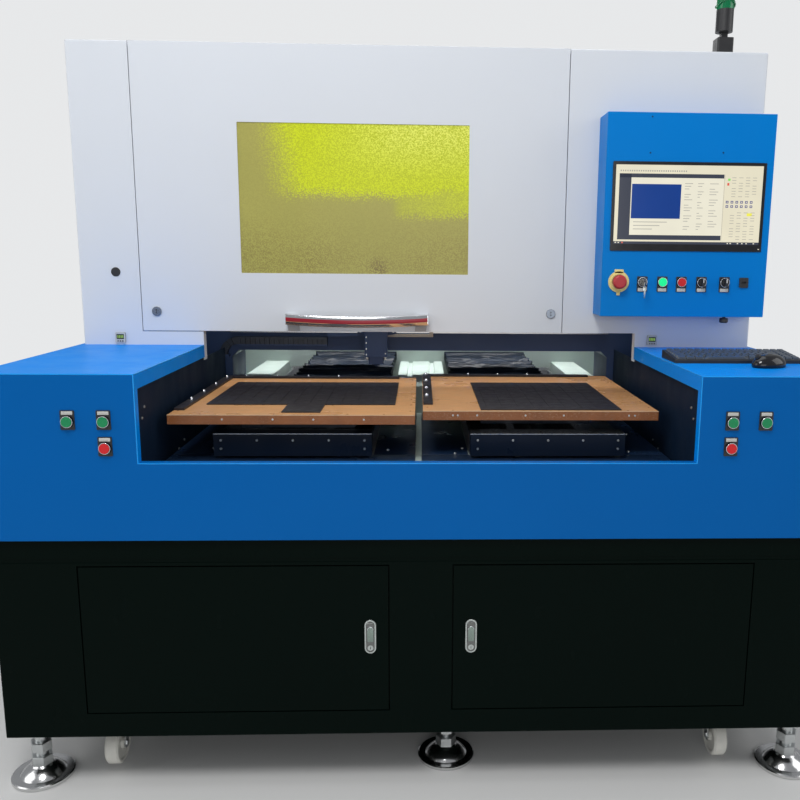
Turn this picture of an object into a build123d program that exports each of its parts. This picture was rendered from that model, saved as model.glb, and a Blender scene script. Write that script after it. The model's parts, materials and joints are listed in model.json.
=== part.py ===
from build123d import *
import math
import os

os.makedirs("parts", exist_ok=True)

# Driving dimensions in millimetres, +Z up, the machine's front faces -Y.
# The origin is on the floor under the middle of the machine's outline.

# Blue housing around the work bay
housing_width = 2048.0
housing_depth = 1600.0
housing_bottom = 655.0
housing_top = 1050.0
housing_sheet = 3.0
housing_fold = 8.0
housing_top_fold = 6.0
housing_edge_fold = 2.0
housing_foot_flange = 50.0
guard_chain_room = 30.0

# Loading notch in the front of the housing
notch_half = 653.0
notch_bottom = 842.0
shelf_depth = 618.0
shelf_flange = 37.0
notch_return = 22.0
rim_width = 45.0
lip_room = 4.0

# Black base cabinet
base_width = 2032.0
base_bottom = 146.0
base_setback = 11.0
base_sheet = 3.0
base_fold = 4.0
groove_bottom = 596.0
groove_height = 10.0
groove_depth = 1.5

# White upper cabinet
upper_width = 2014.0
upper_top = 1911.0
upper_sheet = 3.0
upper_corner = 5.0
upper_fold = 4.0
upper_rear_setback = 10.0
panel_lip_bottom = 1005.0
panel_lip_depth = 28.0
jamb_reach = 28.0
header_height = 30.0
upper_vent_drop = 180.0

# Lift-up front door
door_left = -833.0
door_right = 429.0
door_bottom = 1092.0
door_thickness = 25.0
door_sheet = 2.5
door_gap = 2.0
door_axis_inset = 8.0
door_pin_radius = 4.0
door_pin_reach = 14.0
window_left = -534.0
window_right = 139.0
window_bottom = 1265.0
window_top = 1695.0
window_lip = 12.0
window_thickness = 5.0
window_stiffener_gap = 40.0
window_stiffener_width = 44.0

# Door handle and cam locks
handle_left = -405.0
handle_right = 20.0
handle_middle = 1131.0
handle_height = 33.0
handle_thickness = 12.0
handle_standoff = 40.0
handle_leg_inset = 28.0
handle_leg_slant = 6.0
handle_foot = 26.0
handle_round = 4.0
handle_sag = 7.0
handle_tab_bottom = 1095.0
handle_tab_width = 34.0
handle_tab_thickness = 7.0
cam_lock_left_x = -788.0
cam_lock_right_x = 392.0
cam_lock_z = 1150.0
cam_head_radius = 14.0
cam_head_height = 4.0
cam_slot_radius = 6.0
cam_barrel_radius = 9.0
cam_arm_length = 60.0
cam_arm_width = 14.0
cam_arm_thickness = 3.0
cam_arm_y = 32.0

# Cabinet doors
cabinet_door_inner = 76.0
cabinet_door_outer = 816.0
cabinet_door_bottom = 207.0
cabinet_door_top = 588.0
cabinet_door_gap = 3.0
cabinet_door_thickness = 18.0
cabinet_door_sheet = 2.0
cabinet_pin_inset = 6.0
cabinet_pin_radius = 3.0
cabinet_pin_reach = 14.0
door_stiffener_width = 60.0
jamb_depth = 40.0
stop_lip = 12.0
stop_gap = 0.5
stop_clear = 40.0
lock_x = 123.0
lock_z = 404.0
lock_width = 28.0
lock_height = 87.0
lock_flange = 2.5
lock_rim = 6.0
lock_body_width = 22.0
lock_body_depth = 24.0
paddle_width = 17.0
paddle_height = 50.0
paddle_thickness = 3.0
paddle_gap = 0.5
paddle_rise = 10.0
paddle_recess = 12.0
paddle_pin_radius = 0.8
paddle_pin_reach = 1.5
cylinder_drop = 29.0
cylinder_radius = 7.0
lock_border = 3.5
lock_field_depth = 1.2
keyway_width = 1.4
keyway_height = 7.0
tongue_length = 58.0
tongue_width = 15.0
tongue_thickness = 3.0
tongue_drop = 14.0

# Levelling feet
foot_side_inset = 50.0
foot_inset = 80.0
foot_middle_x = 68.0
foot_middle_inset = 140.0
foot_radius = 75.0
foot_rim = 9.0
foot_hub_radius = 24.0
foot_hub_top = 36.0
foot_rim_width = 20.0
stem_radius = 15.0
stem_nut_flats = 46.0
stem_nut_height = 24.0
lock_nut_z = 74.0
nut_chamfer = 1.5

# Vent slots in the rear walls
vent_columns = 3
vent_rows = 6
vent_pitch_x = 220.0
vent_pitch_z = 32.0
vent_length = 180.0
vent_height = 8.0

# Casters
caster_side_inset = 231.0
caster_front_inset = 140.0
caster_rear_inset = 190.0
caster_plate = 105.0
caster_plate_thickness = 4.0
wheel_radius = 50.0
wheel_width = 34.0
wheel_lift = 18.0
fork_offset = 32.0
fork_sheet = 4.0
axle_radius = 6.0
axle_head_radius = 9.0
axle_head_height = 3.0
race_radius = 34.0
race_height = 16.0
kingpin_radius = 6.0
fork_gap = 0.3
fork_side_gap = 3.0
fork_crown_reach = 28.0
fork_boss_radius = 12.0
plate_hole_radius = 5.5
plate_hole_inset = 12.0
hub_radius = 12.0

# Console box and its devices
console_left = 521.0
console_right = 1004.0
console_bottom = 1151.0
console_top = 1723.0
console_depth = 101.6
console_sheet = 3.0
console_fold = 2.0
monitor_left = 541.0
monitor_right = 983.0
monitor_bottom = 1339.5
monitor_top = 1589.0
monitor_proud = 3.0
monitor_body_inset = 8.0
monitor_body_depth = 38.0
screen_side = 9.0
screen_foot = 20.0
screen_sunk = 1.0
device_row_z = 1251.0
estop_x = 571.0
key_x = 640.0
green_x = 699.0
red_x = 755.0
selector_left_x = 814.0
selector_right_x = 882.0
usb_x = 939.0
label_width = 30.0
label_above = 16.0
label_below = 28.0
label_thickness = 2.4
usb_width = 26.0
usb_height = 29.0
usb_proud = 4.0
usb_slot_width = 13.0
usb_slot_height = 6.0
estop_collar_radius = 30.0
estop_collar_height = 2.5
estop_head_radius = 20.0
estop_head_height = 15.0
estop_travel = 5.0
estop_head_round = 7.0
key_thickness = 2.0
key_blade_width = 7.0
key_blade_length = 16.0
key_bow_length = 24.0
key_bow_width = 22.0
key_hole_radius = 3.0
selector_width = 8.0
selector_length = 25.0
selector_height = 15.0

# Panel devices of the 22 mm kind
device_hole = 11.15
device_barrel = 11.0
device_bezel = 14.75
device_bezel_height = 5.0
device_barrel_depth = 42.0
device_nut_radius = 15.0
device_nut_thickness = 6.0
cap_radius = 9.5
cap_travel = 4.0
cap_proud = 3.0
cap_depth = 12.0
cap_head_radius = 12.0
cap_head_sunk = 0.6
cap_bore = cap_depth + cap_travel + 1
estop_head_start = device_bezel_height + estop_travel + 1
slip = 0.05
face_gap = 0.3

# Start and stop buttons on the housing front
holder_width = 32.0
holder_height = 45.0
holder_thickness = 3.0
holder_below = 19.0
legend_rise = 20.0
legend_height = 9.0
legend_inset = 3.0
front_row_z = 940.5
stop_row_z = 878.5
# side of the machine, distance in from the housing's edge there, and height
front_buttons = {
    "left_outer_start": (-1, 218.0, front_row_z),
    "left_inner_start": (-1, 299.0, front_row_z),
    "left_stop": (-1, 299.0, stop_row_z),
    "right_inner_start": (1, 293.0, front_row_z),
    "right_outer_start": (1, 213.0, front_row_z),
    "right_stop": (1, 293.0, stop_row_z),
}

# Pressure gauges
gauge_size = 30.0
gauge_depth = 25.0
gauge_proud = 4.0
gauge_frame = 2.0
gauge_key_radius = 2.0
gauge_left_x = -899.0
gauge_right_x = 706.5
gauge_z = 1071.0

# Bed, stages and tables
bed_half = 790.0
bed_front = 100.0
bed_rear_room = 80.0
bed_top = 800.0
bed_rib_top = 890.0
bed_front_half = 650.0
bed_step = 932.0
bed_rib_half = 85.0
bed_rib_outer_start = 540.0
bed_rib_outer_end = 636.0
bed_rib_front = 840.0
bed_groove_width = 16.0
bed_groove_depth = 6.0
bed_wall = 20.0
bed_wall_top = 1000.0
stage_x = 329.0
stage_width = 403.0
stage_front = 200.0
stage_rear_room = 30.0
stage_height = 69.0
stage_wall = 8.0
stage_floor = 12.0
stage_wall_top = 857.0
stage_end_plate = 10.0
stage_pedestal_width = 44.0
stage_pedestal_top = 852.0
screw_radius = 10.0
screw_z = 832.0
stage_cover_lift = 10.0
stage_cover_depth = 48.0
stage_cover_sheet = 3.0
table_width = 617.0
table_depth = 640.0
table_gap = 20.0
table_shift = -6.0
table_bottom = 901.0
table_thickness = 24.0
table_left_front = 160.0
table_right_front = 218.0
table_hole_radius = 3.0
hole_inset = 12.0
side_hole_pitch = 88.0
side_holes = 7
end_hole_pitch = 92.0
end_holes = 6
carriage_width = 300.0
carriage_depth = 420.0
carriage_clearance = 0.4
fixture_thickness = 3.0
fixture_groove = 1.0
fixture_groove_pitch = 42.0
plate_left = (-570.0, -70.0, 300.0, 680.0)
plate_left_tab = (-355.0, -257.0, 190.0, 300.0)
plate_right = (155.0, 525.0, 230.0, 686.0)
strip_width = 26.0
strip_thickness = 6.0
strip_inset = 1.0
strip_left_front = 220.0
strip_left_rear = 798.0
strip_left_end = -72.0
strip_right_front = 306.0
strip_right_rear = 854.0
strip_right_end = 557.0
rail_spacing = 180.0
rail_width = 20.0

# Bellows behind each table
bellows_x = 263.0
bellows_shift = -3.0
bellows_width = 330.0
bellows_top = 930.0
bellows_bottom = 896.0
bellows_fold_depth = 12.0
bellows_folds = 14
bellows_wall = 2.5
bellows_plate = 4.0

# Gantry with the laser head
pillar_inner = 642.0
pillar_width = 110.0
beam_front = 930.0
beam_depth = 210.0
beam_bottom = 1000.0
beam_height = 190.0
beam_wall = 10.0
pillar_chamfer = 22.0
beam_rail_height = 12.0
beam_rail_width = 20.0
beam_rail_spacing = 100.0
slider_width = 130.0
slider_bottom = 1058.0
slider_height = 126.0
slider_thickness = 14.0
slider_corner = 5.0
slider_hole_radius = 4.0
head_x = -150.0
head_width = 74.0
head_depth = 68.0
head_bottom = 988.0
head_top = 1178.0
head_corner = 2.0
column_width = 50.0
column_depth = 46.0
column_bottom = 963.0
nozzle_bottom = 955.0
nozzle_radius = 18.0
nozzle_tip_radius = 5.0
head_pin_radius = 4.5
head_pin_drop = 8.0
chain_arm_height = 8.0
chain_arm_lift = 4.0
chain_arm_depth = 12.0
sensor_arm_end = 40.0
sensor_arm_bottom = 1049.0
sensor_post_width = 12.0
sensor_post_height = 22.0

# Cable chain along the gantry
chain_bottom = 1022.0
chain_height = 24.0
chain_width = 25.0
chain_right = -318.0
chain_bend_x = -618.0
chain_bend_radius = 48.0
chain_pitch = 16.0
chain_slot = 2.0
chain_slot_depth = 4.0
tray_sheet = 4.0
chain_bracket_left = -700.0
chain_bracket_right = -648.0
chain_bracket_height = 8.0

# Laser source on top of the gantry, and the electrical plate in the base
source_width = 900.0
source_depth = 240.0
source_height = 150.0
source_fin_pitch = 30.0
source_slot_width = 14.0
source_slot_depth = 26.0
source_end_margin = 45.0
source_foot_height = 6.0
source_foot_width = 20.0
source_corner = 6.0
electrical_width = 640.0
electrical_height = 340.0
electrical_sheet = 3.0
electrical_standoff = 20.0
standoff_radius = 6.0
standoff_inset_x = 30.0
standoff_inset_z = 20.0
duct_height = 34.0
duct_depth = 50.0
duct_pitch = 130.0
duct_inset = 40.0
breaker_width = 34.0
breaker_height = 76.0
breaker_depth = 62.0
breaker_pitch = 36.0
breakers = 14
drive_width = 72.0
drive_height = 84.0
drive_depth = 110.0
drive_pitch = 96.0
drives = 5

# Signal tower
tower_x = 892.0
tower_setback = 62.0
tower_base_width = 48.0
tower_base_height = 50.0
tower_neck_height = 18.0
tower_radius = 25.0
tower_body_height = 62.0
tower_segment_height = 42.0
tower_segments = 3
tower_cap_height = 9.0
tower_ring_height = 2.0
tower_rod_radius = 8.0
tower_pin_radius = 4.0
tower_pin_drop = 12.0
tower_slot_half = 10.0
tower_slot_floor = 14.0
tower_slot_front = 6.0
tower_tongue_half = 9.7
tower_tongue_depth = 16.0
tower_knuckle_radius = 10.0
tower_collar_height = 2.5
tower_collar_radius = 14.0
tower_base_round = 5.0

# Keyboard and mouse on the right shelf
keyboard_side_room = 362.0
keyboard_front = 232.0
keyboard_width = 340.0
keyboard_depth = 125.0
keyboard_front_height = 10.0
keyboard_rear_height = 22.0
key_pitch = 19.0
key_size = 16.0
key_rise = 5.0
key_rows = 5
key_columns = 17
keyboard_margin = 5.0
keyboard_recess = 2.0
keyboard_corner = 4.0
mouse_side_room = 144.0
mouse_y = 165.0
mouse_length = 98.0
mouse_width = 60.0
mouse_height = 34.0
mouse_angle = 20.0
mouse_sections = ((0, 0.94), (0.2, 1.0), (0.6, 0.86), (0.9, 0.5), (1.0, 0.12))

# Sizes that follow from the driving dimensions
button_proud = holder_thickness + device_bezel_height + cap_proud
front_y = -(housing_depth - button_proud) / 2
rear_y = front_y + housing_depth
base_front = front_y + base_setback
base_rear = rear_y - base_setback
upper_front = front_y + shelf_depth
upper_rear = rear_y - upper_rear_setback
console_front = upper_front - console_depth
housing_middle = (front_y + rear_y) / 2
base_middle = (base_front + base_rear) / 2
upper_middle = (upper_front + upper_rear) / 2
base_height = housing_bottom - base_bottom
door_middle = (door_left + door_right) / 2
axis_y = upper_front + door_axis_inset
axis_z = upper_top - door_axis_inset
stage_top = bed_top + stage_height
table_centre = (table_gap + table_width) / 2
table_top = table_bottom + table_thickness
bed_rear = housing_depth - bed_rear_room
stage_rear = bed_rear - stage_rear_room
foot_x = base_width / 2 - foot_side_inset
caster_x = base_width / 2 - caster_side_inset
keyboard_left = housing_width / 2 - keyboard_side_room
mouse_x = housing_width / 2 - mouse_side_room
button_places = {
    name: (side * (housing_width / 2 - inset), z)
    for name, (side, inset, z) in front_buttons.items()
}


def block(x0, x1, y0, y1, z0, z1, mode=Mode.ADD):
    """A rectangular block between two corners, added to or cut from the part being built."""
    with Locations(((x0 + x1) / 2, (y0 + y1) / 2, (z0 + z1) / 2)):
        Box(x1 - x0, y1 - y0, z1 - z0, mode=mode)


def facing(x, y, z):
    """A plane at a point, whose normal points out of the machine's front."""
    return Plane(origin=(x, y, z), x_dir=(1, 0, 0), z_dir=(0, -1, 0))


def save(piece, label):
    """Name a finished piece and write its file."""
    piece.part.label = label
    export_step(piece.part, f"parts/{label}.step")


# Base cabinet: folded sheet box with two door openings, jambs, a partition and rear openings
opening_width = cabinet_door_outer - cabinet_door_inner
opening_height = cabinet_door_top - cabinet_door_bottom
opening_x = (cabinet_door_inner + cabinet_door_outer) / 2
opening_z = (cabinet_door_top + cabinet_door_bottom) / 2
guard_x = notch_half + 2 * housing_sheet
guard_front = front_y + notch_return + 2
guard_rear = front_y + beam_front - guard_chain_room
guard_top = housing_top - shelf_flange - 3
stop_y = base_front + cabinet_door_thickness + stop_gap
pin_y = base_front + cabinet_pin_inset
pin_x = cabinet_door_outer - cabinet_door_gap - cabinet_pin_inset
paddle_z = lock_z + paddle_rise
paddle_axis_y = base_front - lock_flange + paddle_thickness / 2
paddle_axis_z = paddle_z + (paddle_height - paddle_thickness) / 2

with BuildPart() as base_cabinet:
    with BuildSketch(Plane.XY.offset(base_bottom)):
        with Locations((0, base_middle)):
            RectangleRounded(base_width, base_rear - base_front, base_fold)
    extrude(amount=base_height)
    block(
        -base_width / 2 + base_sheet, base_width / 2 - base_sheet,
        base_front + base_sheet, base_rear - base_sheet,
        base_bottom + base_sheet, housing_bottom - base_sheet, Mode.SUBTRACT,
    )
    # jambs folded inward round each door opening
    with BuildSketch(facing(0, base_front, opening_z)):
        with Locations((-opening_x, 0), (opening_x, 0)):
            Rectangle(opening_width + 2 * base_sheet, opening_height + 2 * base_sheet)
    extrude(amount=-jamb_depth)
    with BuildSketch(facing(0, base_front, opening_z)):
        with Locations((-opening_x, 0), (opening_x, 0)):
            Rectangle(opening_width, opening_height)
    extrude(amount=-jamb_depth, mode=Mode.SUBTRACT)
    # stops that the closed doors rest on, along the top, the bottom and the free side
    for side in (-1, 1):
        hinge_clear = side * (cabinet_door_outer - stop_clear)
        free_side = side * cabinet_door_inner
        low_x, high_x = sorted((hinge_clear, free_side))
        for z0, z1 in (
            (cabinet_door_bottom, cabinet_door_bottom + stop_lip),
            (cabinet_door_top - stop_lip, cabinet_door_top),
        ):
            block(low_x, high_x, stop_y, stop_y + base_sheet, z0, z1)
        low_x, high_x = sorted((free_side, free_side + side * stop_lip))
        block(low_x, high_x, stop_y, stop_y + base_sheet, cabinet_door_bottom, cabinet_door_top)
    # partition between the two compartments
    block(
        -base_sheet / 2, base_sheet / 2, base_front + base_sheet, base_rear - base_sheet,
        base_bottom + base_sheet, housing_bottom - base_sheet,
    )
    # shadow groove under the top band
    block(
        -base_width / 2 - 1, base_width / 2 + 1, base_front - 1, base_front + groove_depth,
        groove_bottom, groove_bottom + groove_height, Mode.SUBTRACT,
    )
    # vent slots in the rear wall
    with BuildSketch(facing(0, base_rear + 1, opening_z)):
        with Locations((-opening_x, 0), (opening_x, 0)):
            with GridLocations(vent_pitch_x, vent_pitch_z, vent_columns, vent_rows):
                SlotOverall(vent_length, vent_height)
    extrude(amount=base_sheet + 2, mode=Mode.SUBTRACT)
    # black side guards that stand inside the work bay, from the notch to the gantry
    for side in (-1, 1):
        low_x, high_x = sorted((side * guard_x, side * (guard_x + base_sheet)))
        block(low_x, high_x, guard_front, guard_rear, housing_bottom + 2 * housing_sheet, guard_top)
        block(
            low_x, high_x, front_y + housing_foot_flange + 1, guard_rear,
            housing_bottom, guard_top,
        )
    # welded hinge pins at the top and bottom of each opening
    for side in (-1, 1):
        with BuildSketch(Plane.XY.offset(cabinet_door_bottom)):
            with Locations((side * pin_x, pin_y)):
                Circle(cabinet_pin_radius)
        extrude(amount=cabinet_pin_reach)
        with BuildSketch(Plane.XY.offset(cabinet_door_top)):
            with Locations((side * pin_x, pin_y)):
                Circle(cabinet_pin_radius)
        extrude(amount=-cabinet_pin_reach)
save(base_cabinet, "base_cabinet")

# Cabinet doors: folded pans with a stiffener, hinge blocks and a lock slot
def cabinet_door(side):
    """One pan-shaped door; side is -1 for the left one and 1 for the right one."""
    width = opening_width - 2 * cabinet_door_gap
    height = opening_height - 2 * cabinet_door_gap
    with BuildPart() as door:
        with BuildSketch(facing(side * opening_x, base_front, opening_z)):
            RectangleRounded(width, height, 1.5)
        extrude(amount=-cabinet_door_thickness)
        with BuildSketch(facing(side * opening_x, base_front + cabinet_door_sheet, opening_z)):
            Rectangle(width - 2 * cabinet_door_sheet, height - 2 * cabinet_door_sheet)
        extrude(amount=-cabinet_door_thickness, mode=Mode.SUBTRACT)
        # hinge blocks in the two outer corners
        block_width = 2 * cabinet_pin_inset
        for end in (-1, 1):
            edge_z = opening_z + end * height / 2
            z0, z1 = sorted((edge_z, edge_z - end * (cabinet_pin_reach + 2)))
            edge_x = side * (opening_x + width / 2)
            x0, x1 = sorted((edge_x, edge_x - side * block_width))
            block(x0, x1, base_front, base_front + cabinet_door_thickness, z0, z1)
            with BuildSketch(Plane.XY.offset(edge_z)):
                with Locations((side * pin_x, pin_y)):
                    Circle(cabinet_pin_radius + slip)
            extrude(amount=-end * (cabinet_pin_reach - cabinet_door_gap + 1), mode=Mode.SUBTRACT)
        # stiffening channel down the middle of the pan
        with BuildSketch(Plane.XY.offset(opening_z - height / 2 + cabinet_door_sheet)):
            with Locations((side * opening_x, base_front + cabinet_door_thickness / 2)):
                Rectangle(door_stiffener_width, cabinet_door_thickness - cabinet_door_sheet)
                Rectangle(
                    door_stiffener_width - 2 * cabinet_door_sheet,
                    cabinet_door_thickness - cabinet_door_sheet, mode=Mode.SUBTRACT,
                )
        extrude(amount=height - 2 * cabinet_door_sheet)
        # slot for the lock body
        with BuildSketch(facing(side * lock_x, base_front, lock_z)):
            SlotOverall(
                lock_height - lock_rim + 2 * slip, lock_body_width + 2 * slip, rotation=90,
            )
        extrude(amount=-cabinet_door_sheet, mode=Mode.SUBTRACT)
    return door


def lock_housing(side):
    """The lock's flange and body, with a recess for the paddle and a key cylinder."""
    with BuildPart() as lock:
        with BuildSketch(facing(side * lock_x, base_front, lock_z)):
            SlotOverall(lock_height, lock_width, rotation=90)
        extrude(amount=lock_flange)
        fillet(lock.faces().sort_by(Axis.Y)[0].edges(), 0.8)
        with BuildSketch(facing(side * lock_x, base_front, lock_z)):
            SlotOverall(lock_height - lock_rim, lock_body_width, rotation=90)
        extrude(amount=-lock_body_depth)
        with BuildSketch(facing(side * lock_x, base_front - lock_flange, paddle_z)):
            Rectangle(paddle_width + 2 * paddle_gap, paddle_height + 2 * paddle_gap)
        extrude(amount=-paddle_recess, mode=Mode.SUBTRACT)
        # bearings for the paddle's two stub pins
        reach = paddle_width / 2 + paddle_gap + paddle_pin_reach + face_gap
        with BuildSketch(Plane.YZ.offset(side * lock_x - reach)):
            with Locations((paddle_axis_y, paddle_axis_z)):
                Circle(paddle_pin_radius + slip)
        extrude(amount=2 * reach, mode=Mode.SUBTRACT)
        # sunken field inside the rim, in which the paddle and the key cylinder stand out
        with BuildSketch(facing(side * lock_x, base_front - lock_flange, lock_z)):
            SlotOverall(lock_height - 2 * lock_border, lock_width - 2 * lock_border, rotation=90)
        extrude(amount=-lock_field_depth, mode=Mode.SUBTRACT)
        cylinder = facing(side * lock_x, base_front - lock_flange, lock_z - cylinder_drop)
        with BuildSketch(cylinder):
            Circle(cylinder_radius)
        extrude(amount=-lock_flange)
        with BuildSketch(cylinder):
            Rectangle(keyway_width, keyway_height)
        extrude(amount=-keyway_height, mode=Mode.SUBTRACT)
        # latch tongue behind the body, turned down, which frees the door
        with BuildSketch(facing(side * lock_x, base_front + lock_body_depth, lock_z - tongue_drop)):
            SlotOverall(tongue_length, tongue_width, rotation=90)
        extrude(amount=-tongue_thickness)
    return lock


def lock_paddle(side):
    """The paddle that springs out of the lock, with stub pins at its round upper end."""
    with BuildPart() as paddle:
        with BuildSketch(facing(side * lock_x, base_front - lock_flange, paddle_z)):
            Rectangle(paddle_width, paddle_height)
        extrude(amount=-paddle_thickness)
        ends = paddle.edges().filter_by(Axis.X).group_by(Axis.Z)
        fillet(ends[-1], paddle_thickness / 2 - slip)
        # finger dish near the free end
        with BuildSketch(facing(side * lock_x, base_front - lock_flange, paddle_z - paddle_height / 3)):
            SlotOverall(paddle_width * 0.7, paddle_width / 2, rotation=90)
        extrude(amount=-paddle_thickness / 3, mode=Mode.SUBTRACT)
        reach = paddle_width / 2 + paddle_gap + paddle_pin_reach
        with BuildSketch(Plane.YZ.offset(side * lock_x - reach)):
            with Locations((paddle_axis_y, paddle_axis_z)):
                Circle(paddle_pin_radius)
        extrude(amount=2 * reach)
    return paddle


for side, word in ((-1, "left"), (1, "right")):
    save(cabinet_door(side), f"cabinet_door_{word}")
    save(lock_housing(side), f"lock_housing_{word}")
    save(lock_paddle(side), f"lock_paddle_{word}")

# Levelling feet: dished discs, and threaded stems with two nuts each
front_row = base_front - base_setback + foot_inset
rear_row = base_rear + base_setback - foot_inset
foot_points = [
    (-foot_x, front_row, 0),
    (foot_middle_x, front_y + foot_middle_inset, 0),
    (foot_x, front_row, 0),
    (-foot_x, rear_row, 0),
    (foot_middle_x, rear_y - foot_middle_inset, 0),
    (foot_x, rear_row, 0),
]
rim_inner = foot_radius - foot_rim_width
dome_foot = (rim_inner, foot_rim + 2)
dome_top = (foot_hub_radius + 4, foot_hub_top - 4)
dome_middle = ((rim_inner + foot_hub_radius + 4) / 2, (foot_rim + foot_hub_top) / 2 + 1.5)
with BuildPart() as foot_disc:
    with BuildSketch(Plane.XZ):
        with BuildLine():
            Polyline(
                (0, 0), (foot_radius - 2, 0), (foot_radius, 2), (foot_radius, foot_rim),
                (foot_radius - 3, foot_rim + 2), dome_foot,
            )
            ThreePointArc(dome_foot, dome_middle, dome_top)
            Polyline(dome_top, (foot_hub_radius, foot_hub_top), (0, foot_hub_top), (0, 0))
        make_face()
    revolve(axis=Axis.Z)
with BuildPart() as foot_discs:
    with Locations(*foot_points):
        add(foot_disc.part)
save(foot_discs, "foot_discs")

with BuildPart() as foot_screw:
    with BuildSketch(Plane.XY.offset(foot_hub_top)):
        Circle(stem_radius)
    extrude(amount=base_bottom - foot_hub_top)
    for nut_z in (foot_hub_top, lock_nut_z):
        with BuildSketch(Plane.XY.offset(nut_z)):
            RegularPolygon(stem_nut_flats / 2, 6, major_radius=False)
        extrude(amount=stem_nut_height)
        level_edges = foot_screw.edges().filter_by(GeomType.LINE).filter_by(Axis.Z, reverse=True)
        chamfer(level_edges.group_by(Axis.Z)[-1], nut_chamfer)
with BuildPart() as foot_screws:
    with Locations(*foot_points):
        add(foot_screw.part)
save(foot_screws, "foot_screws")

# Casters: plates with races, swivelling front forks, rigid rear forks and wheels
race_bottom = base_bottom - caster_plate_thickness - race_height
wheel_z = wheel_lift + wheel_radius
leg_inner = wheel_width / 2 + fork_side_gap
leg_outer = leg_inner + fork_sheet
caster_front_y = front_y + caster_front_inset
caster_rear_y = rear_y - caster_rear_inset


def caster_fork(top_z):
    """Crown, two tapered legs and the axle, about a swivel axis at the origin."""
    with BuildPart() as fork:
        block(
            -leg_outer, leg_outer, -fork_crown_reach, fork_crown_reach, top_z - fork_sheet, top_z,
        )
        for leg_x in (-leg_outer, leg_inner):
            with BuildSketch(Plane.YZ.offset(leg_x)):
                with BuildLine():
                    Polyline(
                        (-fork_crown_reach, top_z), (fork_crown_reach, top_z),
                        (fork_offset + fork_boss_radius, wheel_z),
                        (fork_offset - fork_boss_radius, wheel_z),
                        (-fork_crown_reach, top_z - 3 * fork_sheet), (-fork_crown_reach, top_z),
                    )
                make_face()
                with Locations((fork_offset, wheel_z)):
                    Circle(fork_boss_radius)
            extrude(amount=fork_sheet)
        with BuildSketch(Plane.YZ.offset(-leg_outer)):
            with Locations((fork_offset, wheel_z)):
                Circle(axle_radius)
        extrude(amount=2 * leg_outer)
        for head_start in (-leg_outer - axle_head_height, leg_outer):
            with BuildSketch(Plane.YZ.offset(head_start)):
                with Locations((fork_offset, wheel_z)):
                    RegularPolygon(axle_head_radius, 6)
            extrude(amount=axle_head_height)
    return fork


swivel_fork = caster_fork(race_bottom - fork_gap)
rigid_fork = caster_fork(race_bottom)
with BuildPart() as caster_plates:
    for y in (caster_front_y, caster_rear_y):
        for x in (-caster_x, caster_x):
            with BuildSketch(Plane.XY.offset(base_bottom)):
                with Locations((x, y)):
                    RectangleRounded(caster_plate, caster_plate, plate_hole_inset / 2)
                    with GridLocations(
                        caster_plate - 2 * plate_hole_inset, caster_plate - 2 * plate_hole_inset, 2, 2
                    ):
                        Circle(plate_hole_radius, mode=Mode.SUBTRACT)
            extrude(amount=-caster_plate_thickness)
            with BuildSketch(Plane.XY.offset(race_bottom)):
                with Locations((x, y)):
                    Circle(race_radius)
                    if y == caster_front_y:
                        Circle(kingpin_radius + slip, mode=Mode.SUBTRACT)
            extrude(amount=race_height)
    with Locations((-caster_x, caster_rear_y, 0), (caster_x, caster_rear_y, 0)):
        add(rigid_fork.part)
save(caster_plates, "caster_plates")

half_profile = [
    (leg_inner - face_gap, axle_radius + slip),
    (leg_inner - face_gap, hub_radius),
    (wheel_width / 2 - 4, hub_radius + 3),
    (wheel_width / 2 - 4, wheel_radius - 13),
    (wheel_width / 2, wheel_radius - 9),
    (wheel_width / 2, wheel_radius - 4),
    (wheel_width / 2 - 4, wheel_radius),
]
wheel_profile = half_profile + [(-x, radius) for x, radius in reversed(half_profile)]
with BuildPart() as wheel_shape:
    with BuildSketch(Plane.XZ):
        with BuildLine():
            Polyline(*wheel_profile, close=True)
        make_face()
    revolve(axis=Axis.X)

for side, word in ((-1, "left"), (1, "right")):
    with BuildPart() as fork:
        # turned to the front
        with Locations(Location((side * caster_x, caster_front_y, 0), (0, 0, 180))):
            add(swivel_fork.part)
        with BuildSketch(Plane.XY.offset(race_bottom - fork_gap)):
            with Locations((side * caster_x, caster_front_y)):
                Circle(kingpin_radius)
        extrude(amount=race_height)
    save(fork, f"caster_fork_{word}")
    for axle_y, place in (
        (caster_front_y - fork_offset, "front"), (caster_rear_y + fork_offset, "rear"),
    ):
        with BuildPart() as wheel:
            with Locations((side * caster_x, axle_y, wheel_z)):
                add(wheel_shape.part)
        save(wheel, f"caster_wheel_{place}_{word}")

# Electrical plate inside the base, on standoffs, with ducts, breakers and drives
with BuildPart() as electrical_panel:
    plate_y = base_rear - base_sheet - electrical_standoff
    with BuildSketch(facing(opening_x, plate_y, opening_z)):
        RectangleRounded(electrical_width, electrical_height, standoff_radius)
    extrude(amount=-electrical_sheet)
    with BuildSketch(facing(opening_x, plate_y, opening_z)):
        with GridLocations(
            electrical_width - 2 * standoff_inset_x, electrical_height - 2 * standoff_inset_z, 2, 2
        ):
            Circle(standoff_radius)
    extrude(amount=-electrical_standoff)
    with BuildSketch(facing(opening_x, plate_y, opening_z)):
        with GridLocations(0, duct_pitch, 1, 3):
            Rectangle(electrical_width - 2 * duct_inset, duct_height)
    extrude(amount=duct_depth)
    with BuildSketch(facing(opening_x, plate_y, opening_z + duct_pitch / 2)):
        with GridLocations(breaker_pitch, 0, breakers, 1):
            Rectangle(breaker_width, breaker_height)
    extrude(amount=breaker_depth)
    with BuildSketch(facing(opening_x, plate_y, opening_z - duct_pitch / 2)):
        with GridLocations(drive_pitch, 0, drives, 1):
            Rectangle(drive_width, drive_height)
    extrude(amount=drive_depth)
save(electrical_panel, "electrical_panel")

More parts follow.
